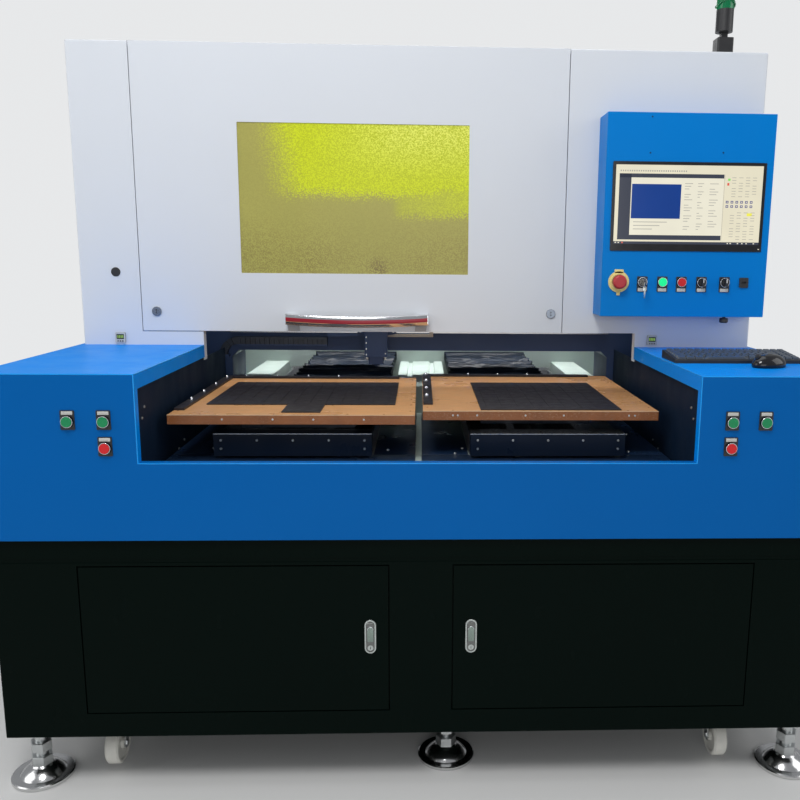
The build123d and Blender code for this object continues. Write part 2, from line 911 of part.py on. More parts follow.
# Blue housing: folded sheet apron with the loading notch, its returns and the shelf flanges
with BuildPart() as housing:
    with BuildSketch(Plane.XY.offset(housing_bottom)):
        with Locations((0, housing_middle)):
            RectangleRounded(housing_width, housing_depth, housing_fold)
    extrude(amount=housing_top - housing_bottom)
    fillet(housing.faces().sort_by(Axis.Z)[-1].edges(), housing_top_fold)
    with BuildSketch(Plane.XY.offset(housing_bottom + housing_sheet)):
        with Locations((0, housing_middle)):
            RectangleRounded(
                housing_width - 2 * housing_sheet, housing_depth - 2 * housing_sheet,
                housing_fold - housing_sheet,
            )
    extrude(amount=housing_top - housing_bottom - 2 * housing_sheet, mode=Mode.SUBTRACT)
    # open bottom inside the foot flange
    with BuildSketch(Plane.XY.offset(housing_bottom)):
        with Locations((0, housing_middle)):
            Rectangle(
                housing_width - 2 * housing_foot_flange, housing_depth - 2 * housing_foot_flange,
            )
    extrude(amount=2 * housing_sheet, mode=Mode.SUBTRACT)
    # the notch through the front wall and the top
    block(
        -notch_half, notch_half, front_y - 1, upper_front, notch_bottom, housing_top + 1,
        Mode.SUBTRACT,
    )
    # the opening under the upper cabinet
    block(
        -notch_half - lip_room, notch_half + lip_room, upper_front, upper_front + rim_width,
        housing_top - 2 * housing_sheet, housing_top + 1, Mode.SUBTRACT,
    )
    block(
        -upper_width / 2 + rim_width, upper_width / 2 - rim_width,
        upper_front + rim_width, upper_rear - rim_width,
        housing_top - 2 * housing_sheet, housing_top + 1, Mode.SUBTRACT,
    )
    # shelf flanges folded down along the notch
    for side in (-1, 1):
        low_x, high_x = sorted((side * notch_half, side * (notch_half + housing_sheet)))
        block(
            low_x, high_x, front_y + housing_sheet, upper_front,
            housing_top - shelf_flange, housing_top - housing_sheet,
        )
        block(
            low_x, high_x, front_y + housing_sheet, front_y + notch_return,
            notch_bottom, housing_top - shelf_flange,
        )
    block(
        -notch_half - housing_sheet, notch_half + housing_sheet,
        front_y + housing_sheet, front_y + notch_return,
        notch_bottom - housing_sheet, notch_bottom,
    )
    # soft upper edges where the front folds into the shelf flanges
    corner_edges = (
        housing.edges()
        .filter_by(Axis.Y)
        .filter_by_position(Axis.Z, housing_top - 0.1, housing_top + 0.1)
        .filter_by_position(Axis.Y, front_y, upper_front)
    )
    fillet(corner_edges, housing_edge_fold)
    # holes for the start and stop buttons
    for x, z in button_places.values():
        with BuildSketch(facing(x, front_y, z)):
            Circle(device_hole)
        extrude(amount=-housing_sheet, mode=Mode.SUBTRACT)
    # vent slots in the rear wall
    with BuildSketch(facing(0, rear_y, (housing_bottom + housing_top) / 2)):
        with GridLocations(2 * opening_x, vent_pitch_z, 2, vent_rows):
            SlotOverall(vent_length, vent_height)
    extrude(amount=housing_sheet, mode=Mode.SUBTRACT)
save(housing, "housing")

# White upper cabinet: folded shell with the door opening, hinge pins, lips and vents
with BuildPart() as upper_shell:
    with BuildSketch(Plane.XY.offset(housing_top)):
        with Locations((0, upper_middle)):
            RectangleRounded(upper_width, upper_rear - upper_front, upper_corner)
    extrude(amount=upper_top - housing_top)
    fillet(upper_shell.faces().sort_by(Axis.Z)[-1].edges(), upper_fold)
    block(
        -upper_width / 2 + upper_sheet, upper_width / 2 - upper_sheet,
        upper_front + upper_sheet, upper_rear - upper_sheet,
        housing_top, upper_top - upper_sheet, Mode.SUBTRACT,
    )
    # opening for the lift-up door, through the top's front edge
    block(
        door_left, door_right, upper_front - 1, upper_front + jamb_reach,
        door_bottom - door_gap, upper_top + 1, Mode.SUBTRACT,
    )
    # cut-out over the work bay
    block(
        -notch_half, notch_half, upper_front - 1, upper_front + jamb_reach,
        housing_top - 1, door_bottom, Mode.SUBTRACT,
    )
    # jambs beside the door, the header behind its top edge and the lip below it
    for jamb_x in (door_left - upper_sheet, door_right):
        block(
            jamb_x, jamb_x + upper_sheet, upper_front + upper_sheet / 2, upper_front + jamb_reach,
            door_bottom, upper_top - upper_sheet / 2,
        )
    block(
        door_left - upper_sheet, door_right + upper_sheet,
        upper_front + jamb_reach, upper_front + jamb_reach + upper_sheet,
        upper_top - header_height, upper_top - upper_sheet / 2,
    )
    # returns along the cut-out, which reach down behind the shelf flanges
    for side in (-1, 1):
        low_x, high_x = sorted((side * notch_half, side * (notch_half + upper_sheet)))
        block(
            low_x, high_x, upper_front, upper_front + panel_lip_depth,
            panel_lip_bottom, door_bottom - door_gap,
        )
    # hinge pins for the door
    for pin_start, direction in ((door_left, 1), (door_right, -1)):
        with BuildSketch(Plane.YZ.offset(pin_start)):
            with Locations((axis_y, axis_z)):
                Circle(door_pin_radius)
        extrude(amount=direction * door_pin_reach)
    # holes for the gauges
    for gauge_x in (gauge_left_x, gauge_right_x):
        with BuildSketch(facing(gauge_x, upper_front, gauge_z)):
            Rectangle(gauge_size - 2 * gauge_frame, gauge_size - 2 * gauge_frame)
        extrude(amount=-upper_sheet, mode=Mode.SUBTRACT)
    # vent slots in the rear wall
    with BuildSketch(facing(0, upper_rear, upper_top - upper_vent_drop)):
        with GridLocations(vent_pitch_x, vent_pitch_z, 2 * vent_columns, vent_rows):
            SlotOverall(vent_length, vent_height)
    extrude(amount=upper_sheet, mode=Mode.SUBTRACT)
save(upper_shell, "upper_shell")

# Pressure gauges on the upper cabinet's front, with a display window and three keys
with BuildPart() as pressure_gauges:
    for gauge_x in (gauge_left_x, gauge_right_x):
        body_size = gauge_size - 2 * gauge_frame - 2 * slip
        gauge_face = upper_front - gauge_proud
        with BuildSketch(facing(gauge_x, upper_front, gauge_z)):
            RectangleRounded(gauge_size, gauge_size, gauge_frame)
        extrude(amount=gauge_proud)
        with BuildSketch(facing(gauge_x, upper_front, gauge_z)):
            Rectangle(body_size, body_size)
        extrude(amount=-gauge_depth)
        with BuildSketch(facing(gauge_x, gauge_face, gauge_z + gauge_size / 10)):
            RectangleRounded(gauge_size - 4 * gauge_frame, gauge_size / 2, gauge_frame / 2)
        extrude(amount=-gauge_frame / 2, mode=Mode.SUBTRACT)
        with BuildSketch(facing(gauge_x, gauge_face, gauge_z - gauge_size / 3)):
            with GridLocations(3.5 * gauge_key_radius, 0, 3, 1):
                Circle(gauge_key_radius)
        extrude(amount=gauge_frame / 2)
save(pressure_gauges, "pressure_gauges")

# Lift-up front door: folded pan with the window opening, hinge blocks and lock holes
pan_left = door_left + door_gap
pan_right = door_right - door_gap
pan_width = pan_right - pan_left
pan_height = upper_top - door_bottom
window_x = (window_left + window_right) / 2
window_z = (window_bottom + window_top) / 2
window_width = window_right - window_left
window_height = window_top - window_bottom
with BuildPart() as front_door:
    with BuildSketch(facing(door_middle, upper_front, (upper_top + door_bottom) / 2)):
        RectangleRounded(pan_width, pan_height, 1.5)
    extrude(amount=-door_thickness)
    fillet(front_door.faces().sort_by(Axis.Y)[0].edges(), 1)
    with BuildSketch(
        facing(door_middle, upper_front + door_sheet, (upper_top + door_bottom) / 2)
    ):
        Rectangle(pan_width - 2 * door_sheet, pan_height - 2 * door_sheet)
    extrude(amount=-door_thickness, mode=Mode.SUBTRACT)
    # hinge blocks in the upper corners
    for pan_x, direction in ((pan_left, 1), (pan_right, -1)):
        low_x, high_x = sorted((pan_x, pan_x + direction * (door_pin_reach + 4)))
        block(
            low_x, high_x, upper_front, upper_front + door_thickness,
            upper_top - 2 * door_axis_inset, upper_top,
        )
        with BuildSketch(Plane.YZ.offset(pan_x)):
            with Locations((axis_y, axis_z)):
                Circle(door_pin_radius + slip)
        extrude(amount=direction * (door_pin_reach - door_gap + 1), mode=Mode.SUBTRACT)
    # stiffening channels beside the window
    channel_offset = window_lip + window_stiffener_gap
    for channel_x in (window_left - channel_offset, window_right + channel_offset):
        with BuildSketch(Plane.XY.offset(door_bottom + door_sheet)):
            with Locations((channel_x, upper_front + (door_thickness + door_sheet) / 2)):
                Rectangle(window_stiffener_width, door_thickness - door_sheet)
                Rectangle(
                    window_stiffener_width - 2 * door_sheet, door_thickness - door_sheet,
                    mode=Mode.SUBTRACT,
                )
        extrude(amount=pan_height - 2 * door_sheet)
    with BuildSketch(facing(window_x, upper_front, window_z)):
        RectangleRounded(window_width, window_height, 2)
    extrude(amount=-door_sheet, mode=Mode.SUBTRACT)
    for lock_place in (cam_lock_left_x, cam_lock_right_x):
        with BuildSketch(facing(lock_place, upper_front, cam_lock_z)):
            Circle(cam_barrel_radius + slip)
        extrude(amount=-door_sheet, mode=Mode.SUBTRACT)
save(front_door, "front_door")

with BuildPart() as door_window:
    with BuildSketch(facing(window_x, upper_front + door_sheet, window_z)):
        RectangleRounded(window_width + 2 * window_lip, window_height + 2 * window_lip, 6)
    extrude(amount=-window_thickness)
save(door_window, "door_window")

# Door handle: a bar bowed out of the door between two feet, each with a tab below
handle_mid = (handle_left + handle_right) / 2
handle_low = handle_middle - handle_height / 2
handle_high = handle_middle + handle_height / 2
outer_y = upper_front - handle_foot
inner_y = outer_y + handle_thickness
bow_y = upper_front - handle_standoff
leg_left = handle_left + handle_leg_inset
leg_right = handle_right - handle_leg_inset
with BuildPart() as door_handle:
    with BuildSketch(Plane.XY.offset(handle_low - handle_sag)):
        with BuildLine():
            ThreePointArc((handle_left, outer_y), (handle_mid, bow_y), (handle_right, outer_y))
            Polyline(
                (handle_right, outer_y), (handle_right, upper_front), (leg_right, upper_front),
                (leg_right - handle_leg_slant, inner_y),
            )
            ThreePointArc(
                (leg_right - handle_leg_slant, inner_y),
                (handle_mid, bow_y + handle_thickness),
                (leg_left + handle_leg_slant, inner_y),
            )
            Polyline(
                (leg_left + handle_leg_slant, inner_y), (leg_left, upper_front),
                (handle_left, upper_front), (handle_left, outer_y),
            )
        make_face()
    extrude(amount=handle_height + handle_sag)
    # the bar hangs lower in the middle than at its feet
    with BuildSketch(facing(0, upper_front, 0)):
        with BuildLine():
            ThreePointArc(
                (handle_left, handle_low), (handle_mid, handle_low - handle_sag),
                (handle_right, handle_low),
            )
            Line((handle_right, handle_low), (handle_right, handle_high))
            ThreePointArc(
                (handle_right, handle_high), (handle_mid, handle_high - handle_sag),
                (handle_left, handle_high),
            )
            Line((handle_left, handle_high), (handle_left, handle_low))
        make_face()
    extrude(amount=handle_standoff + 1, mode=Mode.INTERSECT)
    bowed_face = door_handle.faces().filter_by(GeomType.CYLINDER).sort_by(Axis.Y)[0]
    fillet(bowed_face.edges().filter_by(Axis.Z, reverse=True), handle_round)
    for start_x, lean in (
        (handle_left, handle_leg_slant),
        (handle_right - handle_tab_width, -handle_leg_slant),
    ):
        with BuildSketch(facing(0, upper_front, 0)):
            with BuildLine():
                Polyline(
                    (start_x, handle_high - handle_round),
                    (start_x + handle_tab_width, handle_high - handle_round),
                    (start_x + handle_tab_width + lean, handle_tab_bottom),
                    (start_x + lean, handle_tab_bottom), close=True,
                )
            make_face()
        extrude(amount=handle_tab_thickness)
save(door_handle, "door_handle")


def cam_lock(x):
    """Round lock head, its barrel through the door, and the cam arm in the open position."""
    with BuildPart() as lock:
        with BuildSketch(facing(x, upper_front, cam_lock_z)):
            Circle(cam_head_radius)
        extrude(amount=cam_head_height)
        fillet(lock.faces().sort_by(Axis.Y)[0].edges(), cam_head_height / 3)
        with BuildSketch(facing(x, upper_front - cam_head_height, cam_lock_z)):
            Circle(cam_slot_radius)
            Rectangle(keyway_width, keyway_height, mode=Mode.SUBTRACT)
        extrude(amount=cam_head_height / 4)
        with BuildSketch(facing(x, upper_front, cam_lock_z)):
            Circle(cam_barrel_radius)
        extrude(amount=-cam_arm_y)
        with BuildSketch(facing(x, upper_front + cam_arm_y, cam_lock_z)):
            with Locations((0, (cam_arm_length - cam_arm_width) / 2)):
                SlotOverall(cam_arm_length, cam_arm_width, rotation=90)
        extrude(amount=-cam_arm_thickness)
    return lock


save(cam_lock(cam_lock_left_x), "cam_lock_left")
save(cam_lock(cam_lock_right_x), "cam_lock_right")

# Console box: folded shell, open against the cabinet, with cut-outs for its devices
console_x = (console_left + console_right) / 2
console_z = (console_bottom + console_top) / 2
monitor_x = (monitor_left + monitor_right) / 2
monitor_z = (monitor_bottom + monitor_top) / 2
monitor_width = monitor_right - monitor_left
monitor_height = monitor_top - monitor_bottom
round_devices = {
    "estop": estop_x,
    "key": key_x,
    "green": green_x,
    "red": red_x,
    "selector_left": selector_left_x,
    "selector_right": selector_right_x,
}
with BuildPart() as console_box:
    with BuildSketch(facing(console_x, upper_front, console_z)):
        RectangleRounded(console_right - console_left, console_top - console_bottom, console_fold)
    extrude(amount=console_depth)
    fillet(console_box.faces().sort_by(Axis.Y)[0].edges(), console_fold / 2)
    with BuildSketch(facing(console_x, upper_front, console_z)):
        Rectangle(
            console_right - console_left - 2 * console_sheet,
            console_top - console_bottom - 2 * console_sheet,
        )
    extrude(amount=console_depth - console_sheet, mode=Mode.SUBTRACT)
    with BuildSketch(facing(monitor_x, console_front, monitor_z)):
        Rectangle(
            monitor_width - 2 * monitor_body_inset + 2 * slip,
            monitor_height - 2 * monitor_body_inset + 2 * slip,
        )
    extrude(amount=-console_sheet, mode=Mode.SUBTRACT)
    for device_x in [*round_devices.values(), usb_x]:
        with BuildSketch(facing(device_x, console_front, device_row_z)):
            Circle(device_hole)
        extrude(amount=-console_sheet, mode=Mode.SUBTRACT)
save(console_box, "console_box")

with BuildPart() as monitor:
    with BuildSketch(facing(monitor_x, console_front, monitor_z)):
        RectangleRounded(monitor_width, monitor_height, 3)
    extrude(amount=monitor_proud)
    fillet(monitor.faces().sort_by(Axis.Y)[0].edges(), 0.8)
    with BuildSketch(facing(monitor_x, console_front, monitor_z)):
        Rectangle(
            monitor_width - 2 * monitor_body_inset, monitor_height - 2 * monitor_body_inset,
        )
    extrude(amount=-monitor_body_depth)
    screen_z = (monitor_bottom + screen_foot + monitor_top - screen_side) / 2
    with BuildSketch(facing(monitor_x, console_front - monitor_proud, screen_z)):
        Rectangle(
            monitor_width - 2 * screen_side, monitor_height - screen_foot - screen_side,
        )
    extrude(amount=-screen_sunk, mode=Mode.SUBTRACT)
save(monitor, "monitor")


def panel_device(x, y, z, sheet, head_radius=cap_radius):
    """Bezel, barrel and nut of one panel device, bored for its moving cap and the cap's head."""
    with BuildPart() as device:
        with BuildSketch(facing(x, y, z)):
            Circle(device_bezel)
        extrude(amount=device_bezel_height, taper=12)
        with BuildSketch(facing(x, y, z)):
            Circle(device_barrel)
        extrude(amount=-device_barrel_depth)
        with BuildSketch(facing(x, y + sheet, z)):
            Circle(device_nut_radius)
        extrude(amount=-device_nut_thickness)
        with BuildSketch(facing(x, y - device_bezel_height, z)):
            Circle(cap_radius + slip)
        extrude(amount=-cap_bore, mode=Mode.SUBTRACT)
        with BuildSketch(facing(x, y, z)):
            Circle(head_radius + slip)
        extrude(amount=device_bezel_height + 1, mode=Mode.SUBTRACT)
    return device


label_face = console_front - label_thickness
console_devices = [panel_device(estop_x, console_front, device_row_z, console_sheet)]
for device_x in (key_x, selector_left_x, selector_right_x):
    console_devices.append(
        panel_device(device_x, label_face, device_row_z, console_sheet + label_thickness)
    )
for device_x in (green_x, red_x):
    console_devices.append(panel_device(
        device_x, label_face, device_row_z, console_sheet + label_thickness, cap_head_radius,
    ))
with BuildPart() as console_fittings:
    for device in console_devices:
        add(device.part)
    # label holders around the other devices
    label_drop = (label_above - label_below) / 2
    for name, x in round_devices.items():
        if name != "estop":
            with BuildSketch(facing(x, console_front, device_row_z)):
                with Locations((0, label_drop)):
                    RectangleRounded(label_width, label_above + label_below, 2)
                Circle(device_barrel - 1, mode=Mode.SUBTRACT)
            extrude(amount=label_thickness)
    # yellow collar under the emergency stop
    with BuildSketch(facing(estop_x, console_front, device_row_z)):
        Circle(estop_collar_radius)
        Circle(device_bezel - 1, mode=Mode.SUBTRACT)
    extrude(amount=estop_collar_height)
    # port with a square bezel and a slotted insert
    with BuildSketch(facing(usb_x, console_front, device_row_z)):
        RectangleRounded(usb_width, usb_height, usb_proud - 1)
    extrude(amount=usb_proud)
    with BuildSketch(facing(usb_x, console_front, device_row_z)):
        Circle(device_barrel)
    extrude(amount=-device_barrel_depth)
    with BuildSketch(facing(usb_x, console_front - usb_proud, device_row_z)):
        Rectangle(usb_slot_width, usb_slot_height)
        with Locations((0, -1)):
            Rectangle(usb_slot_width - 2, usb_slot_height / 3, mode=Mode.SUBTRACT)
    extrude(amount=-2 * usb_proud, mode=Mode.SUBTRACT)
save(console_fittings, "console_fittings")


def push_cap(x, y, z, head_radius=cap_radius):
    """A flat push button cap on a stem that fills the bore of its device."""
    with BuildPart() as cap:
        with BuildSketch(facing(x, y - device_bezel_height + cap_head_sunk, z)):
            Circle(head_radius)
        extrude(amount=cap_head_sunk + cap_proud)
        fillet(cap.faces().sort_by(Axis.Y)[0].edges(), 1)
        with BuildSketch(facing(x, y - device_bezel_height, z)):
            Circle(cap_radius)
        extrude(amount=-cap_depth)
    return cap


save(push_cap(green_x, label_face, device_row_z, cap_head_radius), "console_green_button")
save(push_cap(red_x, label_face, device_row_z, cap_head_radius), "console_red_button")

# Emergency stop: a mushroom head on a stem that fills the bore
with BuildPart() as emergency_stop_button:
    with BuildSketch(facing(estop_x, console_front - estop_head_start, device_row_z)):
        Circle(estop_head_radius)
    extrude(amount=estop_head_height)
    head_face = emergency_stop_button.faces().sort_by(Axis.Y)[0]
    fillet(head_face.edges(), estop_head_round)
    head_back_face = emergency_stop_button.faces().sort_by(Axis.Y)[-1]
    fillet(head_back_face.edges(), 1)
    with BuildSketch(facing(estop_x, console_front - estop_head_start, device_row_z)):
        Circle(cap_radius)
    extrude(amount=-(estop_head_start - device_bezel_height + cap_depth - 1))
save(emergency_stop_button, "emergency_stop_button")

with BuildPart() as switch_key:
    key_face = label_face - device_bezel_height
    with BuildSketch(facing(key_x, key_face, device_row_z)):
        Circle(cap_radius)
    extrude(amount=-cap_depth)
    # blade and bow of the key, standing upright
    with BuildSketch(Plane.YZ.offset(key_x - key_thickness / 2)):
        with Locations((key_face - key_blade_length / 2, device_row_z)):
            Rectangle(key_blade_length, key_blade_width)
        with Locations((key_face - key_blade_length - key_bow_length / 3, device_row_z)):
            Ellipse(key_bow_length / 2, key_bow_width / 2)
            Circle(key_hole_radius, mode=Mode.SUBTRACT)
    extrude(amount=key_thickness)
save(switch_key, "switch_key")


def selector_knob(x):
    """Selector with a round base in the bore and a handle across it."""
    with BuildPart() as knob:
        with BuildSketch(facing(x, label_face - device_bezel_height, device_row_z)):
            Circle(cap_radius)
        extrude(amount=-cap_depth)
        with BuildSketch(facing(x, label_face - device_bezel_height, device_row_z)):
            Circle(cap_radius)
        extrude(amount=selector_height / 3)
        with BuildSketch(facing(x, label_face - device_bezel_height - face_gap, device_row_z)):
            SlotOverall(selector_length, selector_width, rotation=90)
        extrude(amount=selector_height, taper=3)
        fillet(knob.faces().sort_by(Axis.Y)[0].edges(), 0.8)
    return knob


save(selector_knob(selector_left_x), "selector_left")
save(selector_knob(selector_right_x), "selector_right")

# Start and stop buttons in legend holders on the housing front
front_devices = [
    panel_device(
        x, front_y - holder_thickness, z, holder_thickness + housing_sheet, cap_head_radius,
    )
    for x, z in button_places.values()
]
with BuildPart() as button_holders:
    for device in front_devices:
        add(device.part)
    for x, z in button_places.values():
        with BuildSketch(facing(x, front_y, z)):
            with Locations((0, holder_height / 2 - holder_below)):
                RectangleRounded(holder_width, holder_height, 2)
            Circle(device_barrel - 1, mode=Mode.SUBTRACT)
        extrude(amount=holder_thickness)
        # recess for the legend plate above the button
        with BuildSketch(facing(x, front_y - holder_thickness, z + legend_rise)):
            Rectangle(holder_width - 2 * legend_inset, legend_height)
        extrude(amount=-holder_thickness / 4, mode=Mode.SUBTRACT)
save(button_holders, "button_holders")

for name, (x, z) in button_places.items():
    save(push_cap(x, front_y - holder_thickness, z, cap_head_radius), f"{name}_button")

# Machine bed: a slab that widens under the gantry, raised ribs and an end wall
with BuildPart() as bed:
    block(
        -bed_front_half, bed_front_half, front_y + bed_front, front_y + bed_step,
        housing_bottom, bed_top,
    )
    block(
        -bed_half, bed_half, front_y + bed_step, front_y + bed_rear, housing_bottom, bed_top,
    )
    rib_y = (front_y + bed_rib_front, front_y + bed_rear - bed_wall)
    block(-bed_rib_half, bed_rib_half, *rib_y, bed_top, bed_rib_top)
    block(-bed_rib_outer_end, -bed_rib_outer_start, *rib_y, bed_top, bed_rib_top)
    block(bed_rib_outer_start, bed_rib_outer_end, *rib_y, bed_top, bed_rib_top)
    block(
        -bed_half, bed_half, front_y + bed_rear - bed_wall, front_y + bed_rear,
        bed_top, bed_wall_top,
    )
    # grooves between the table runs
    for groove_x in (-bed_rib_half / 2, bed_rib_half / 2):
        block(
            groove_x - bed_groove_width / 2, groove_x + bed_groove_width / 2,
            rib_y[0] - 1, rib_y[1], bed_rib_top - bed_groove_depth, bed_rib_top + 1,
            Mode.SUBTRACT,
        )
    # long edges of the ribs
    rib_edges = (
        bed.edges().filter_by(Axis.Y).filter_by_position(Axis.Z, bed_rib_top - 0.1, bed_rib_top + 0.1)
    )
    chamfer(rib_edges, 2)
save(bed, "bed")

# Linear stages: channels with two rails on pedestals and a ball screw between end plates
stage_y0 = front_y + stage_front + stage_cover_depth
stage_y1 = front_y + stage_rear
with BuildPart() as table_stages:
    for side in (-1, 1):
        stage_left = side * stage_x - stage_width / 2
        stage_right = side * stage_x + stage_width / 2
        with BuildSketch(facing(side * stage_x, stage_y0, bed_top)):
            with Locations((0, stage_floor / 2)):
                Rectangle(stage_width, stage_floor)
            wall_height = stage_wall_top - bed_top
            with Locations((0, wall_height / 2)):
                Rectangle(stage_width, wall_height)
                with Locations((0, stage_floor)):
                    Rectangle(stage_width - 2 * stage_wall, wall_height, mode=Mode.SUBTRACT)
            with Locations((-rail_spacing / 2, 0), (rail_spacing / 2, 0)):
                Rectangle(
                    stage_pedestal_width, stage_pedestal_top - bed_top,
                    align=(Align.CENTER, Align.MIN),
                )
                Rectangle(rail_width, stage_height, align=(Align.CENTER, Align.MIN))
        extrude(amount=-(stage_y1 - stage_y0))
        for plate_y in (stage_y0, stage_y1 - stage_end_plate):
            block(
                stage_left, stage_right, plate_y, plate_y + stage_end_plate, bed_top, stage_top,
            )
        with BuildSketch(facing(side * stage_x, stage_y0, screw_z)):
            Circle(screw_radius)
        extrude(amount=-(stage_y1 - stage_y0))
save(table_stages, "table_stages")

# Sheet covers over the front ends of the stages
with BuildPart() as stage_covers:
    for side in (-1, 1):
        cover_left = side * stage_x - stage_width / 2
        cover_right = side * stage_x + stage_width / 2
        cover_y = front_y + stage_front
        block(
            cover_left, cover_right, cover_y, stage_y0, bed_top + stage_cover_lift, stage_top,
        )
        block(
            cover_left + stage_cover_sheet, cover_right - stage_cover_sheet,
            cover_y + stage_cover_sheet, stage_y0, bed_top, stage_top - stage_cover_sheet,
            Mode.SUBTRACT,
        )
    cover_edges = (
        stage_covers.edges()
        .filter_by(Axis.X)
        .filter_by_position(Axis.Y, front_y + stage_front - 1, front_y + stage_front + 1)
        .group_by(Axis.Z)[-1]
    )
    fillet(cover_edges, 2)
save(stage_covers, "stage_covers")


def sliding_table(side, front):
    """Table top with its saddle, which runs on the rails of a stage."""
    centre_x = side * table_centre + table_shift
    with BuildPart() as table:
        with BuildSketch(Plane.XY.offset(table_bottom)):
            with Locations((centre_x, front + table_depth / 2)):
                RectangleRounded(table_width, table_depth, 2)
        extrude(amount=table_thickness)
        chamfer(table.faces().sort_by(Axis.Z)[-1].edges(), 1)
        block(
            centre_x - carriage_width / 2, centre_x + carriage_width / 2,
            front + (table_depth - carriage_depth) / 2, front + (table_depth + carriage_depth) / 2,
            stage_top + carriage_clearance, table_bottom,
        )
        # rows of threaded holes along the four edges for stops and clamps
        with BuildSketch(Plane.XY.offset(table_top)):
            with Locations((centre_x, front + table_depth / 2)):
                with GridLocations(table_width - 2 * hole_inset, side_hole_pitch, 2, side_holes):
                    Circle(table_hole_radius)
                with GridLocations(end_hole_pitch, table_depth - 2 * hole_inset, end_holes, 2):
                    Circle(table_hole_radius)
        extrude(amount=-table_thickness / 2, mode=Mode.SUBTRACT)
    return table


save(sliding_table(-1, front_y + table_left_front), "table_left")
save(sliding_table(1, front_y + table_right_front), "table_right")


def vacuum_plate(x0, x1, front, rear):
    """Thin plate on a table with a square net of suction grooves."""
    width = x1 - x0
    depth = rear - front
    y0 = front_y + front
    y1 = front_y + rear
    with BuildPart() as plate:
        block(x0, x1, y0, y1, table_top, table_top + fixture_thickness)
        columns = int((width - strip_width) // fixture_groove_pitch) + 1
        rows = int((depth - strip_width) // fixture_groove_pitch) + 1
        net_width = (columns - 1) * fixture_groove_pitch + fixture_groove
        net_depth = (rows - 1) * fixture_groove_pitch + fixture_groove
        with BuildSketch(Plane.XY.offset(table_top + fixture_thickness)):
            with Locations(((x0 + x1) / 2, (y0 + y1) / 2)):
                with GridLocations(fixture_groove_pitch, 0, columns, 1):
                    Rectangle(fixture_groove, net_depth)
                with GridLocations(0, fixture_groove_pitch, 1, rows):
                    Rectangle(net_width, fixture_groove)
        extrude(amount=-fixture_groove, mode=Mode.SUBTRACT)
    return plate


left_vacuum = vacuum_plate(*plate_left)
with BuildPart() as fixture_left:
    add(left_vacuum.part)
    tab_left, tab_right, tab_front, tab_rear = plate_left_tab
    block(
        tab_left, tab_right, front_y + tab_front, front_y + tab_rear,
        table_top, table_top + fixture_thickness,
    )
    strip_start = -table_centre + table_shift - table_width / 2 + strip_inset
    block(
        strip_start, strip_start + strip_width,
        front_y + strip_left_front, front_y + strip_left_rear,
        table_top, table_top + strip_thickness,
    )
    block(
        strip_start + strip_width, strip_left_end,
        front_y + strip_left_rear - strip_width, front_y + strip_left_rear,
        table_top, table_top + strip_thickness,
    )
save(fixture_left, "fixture_left")

right_vacuum = vacuum_plate(*plate_right)
with BuildPart() as fixture_right:
    add(right_vacuum.part)
    strip_start = table_centre + table_shift - table_width / 2 + strip_inset
    block(
        strip_start, strip_start + strip_width,
        front_y + strip_right_front, front_y + strip_right_rear,
        table_top, table_top + strip_thickness,
    )
    block(
        strip_start + strip_width, strip_right_end,
        front_y + strip_right_rear - strip_width, front_y + strip_right_rear,
        table_top, table_top + strip_thickness,
    )
save(fixture_right, "fixture_right")


def pleated_block(x, y0, y1, half, top, bottom):
    """Solid whose top and two sides are folded in pleats that meet in mitred corners."""
    step = (y1 - y0) / (2 * bellows_folds)
    stations = [
        (y0 + index * step, bellows_fold_depth * (index % 2))
        for index in range(2 * bellows_folds + 1)
    ]
    with BuildPart() as pleats:
        with BuildSketch(Plane.YZ.offset(x - half)):
            with BuildLine():
                Polyline(
                    (y0, bottom), *[(y, top - fold) for y, fold in stations], (y1, bottom),
                    close=True,
                )
            make_face()
        extrude(amount=2 * half)
        with BuildSketch(Plane.XY.offset(bottom)):
            with BuildLine():
                Polyline(
                    *[(x - half + fold, y) for y, fold in stations],
                    *[(x + half - fold, y) for y, fold in reversed(stations)],
                    close=True,
                )
            make_face()
        extrude(amount=top - bottom, mode=Mode.INTERSECT)
    return pleats


def bellows(side, front):
    """Pleated cover, open at the bottom, between two end plates."""
    x = side * bellows_x + bellows_shift
    rear = front_y + bed_rear - bed_wall - face_gap
    half = bellows_width / 2
    skin = pleated_block(x, front, rear, half, bellows_top, bellows_bottom)
    core = pleated_block(
        x, front, rear, half - bellows_wall, bellows_top - bellows_wall, bellows_bottom - 1,
    )
    with BuildPart() as cover:
        add(skin.part)
        add(core.part, mode=Mode.SUBTRACT)
        for plate_y in (front, rear - bellows_plate):
            block(
                x - half, x + half, plate_y, plate_y + bellows_plate,
                bellows_bottom, bellows_top,
            )
    return cover


save(bellows(-1, front_y + table_left_front + table_depth + face_gap), "bellows_left")
save(bellows(1, front_y + table_right_front + table_depth + face_gap), "bellows_right")

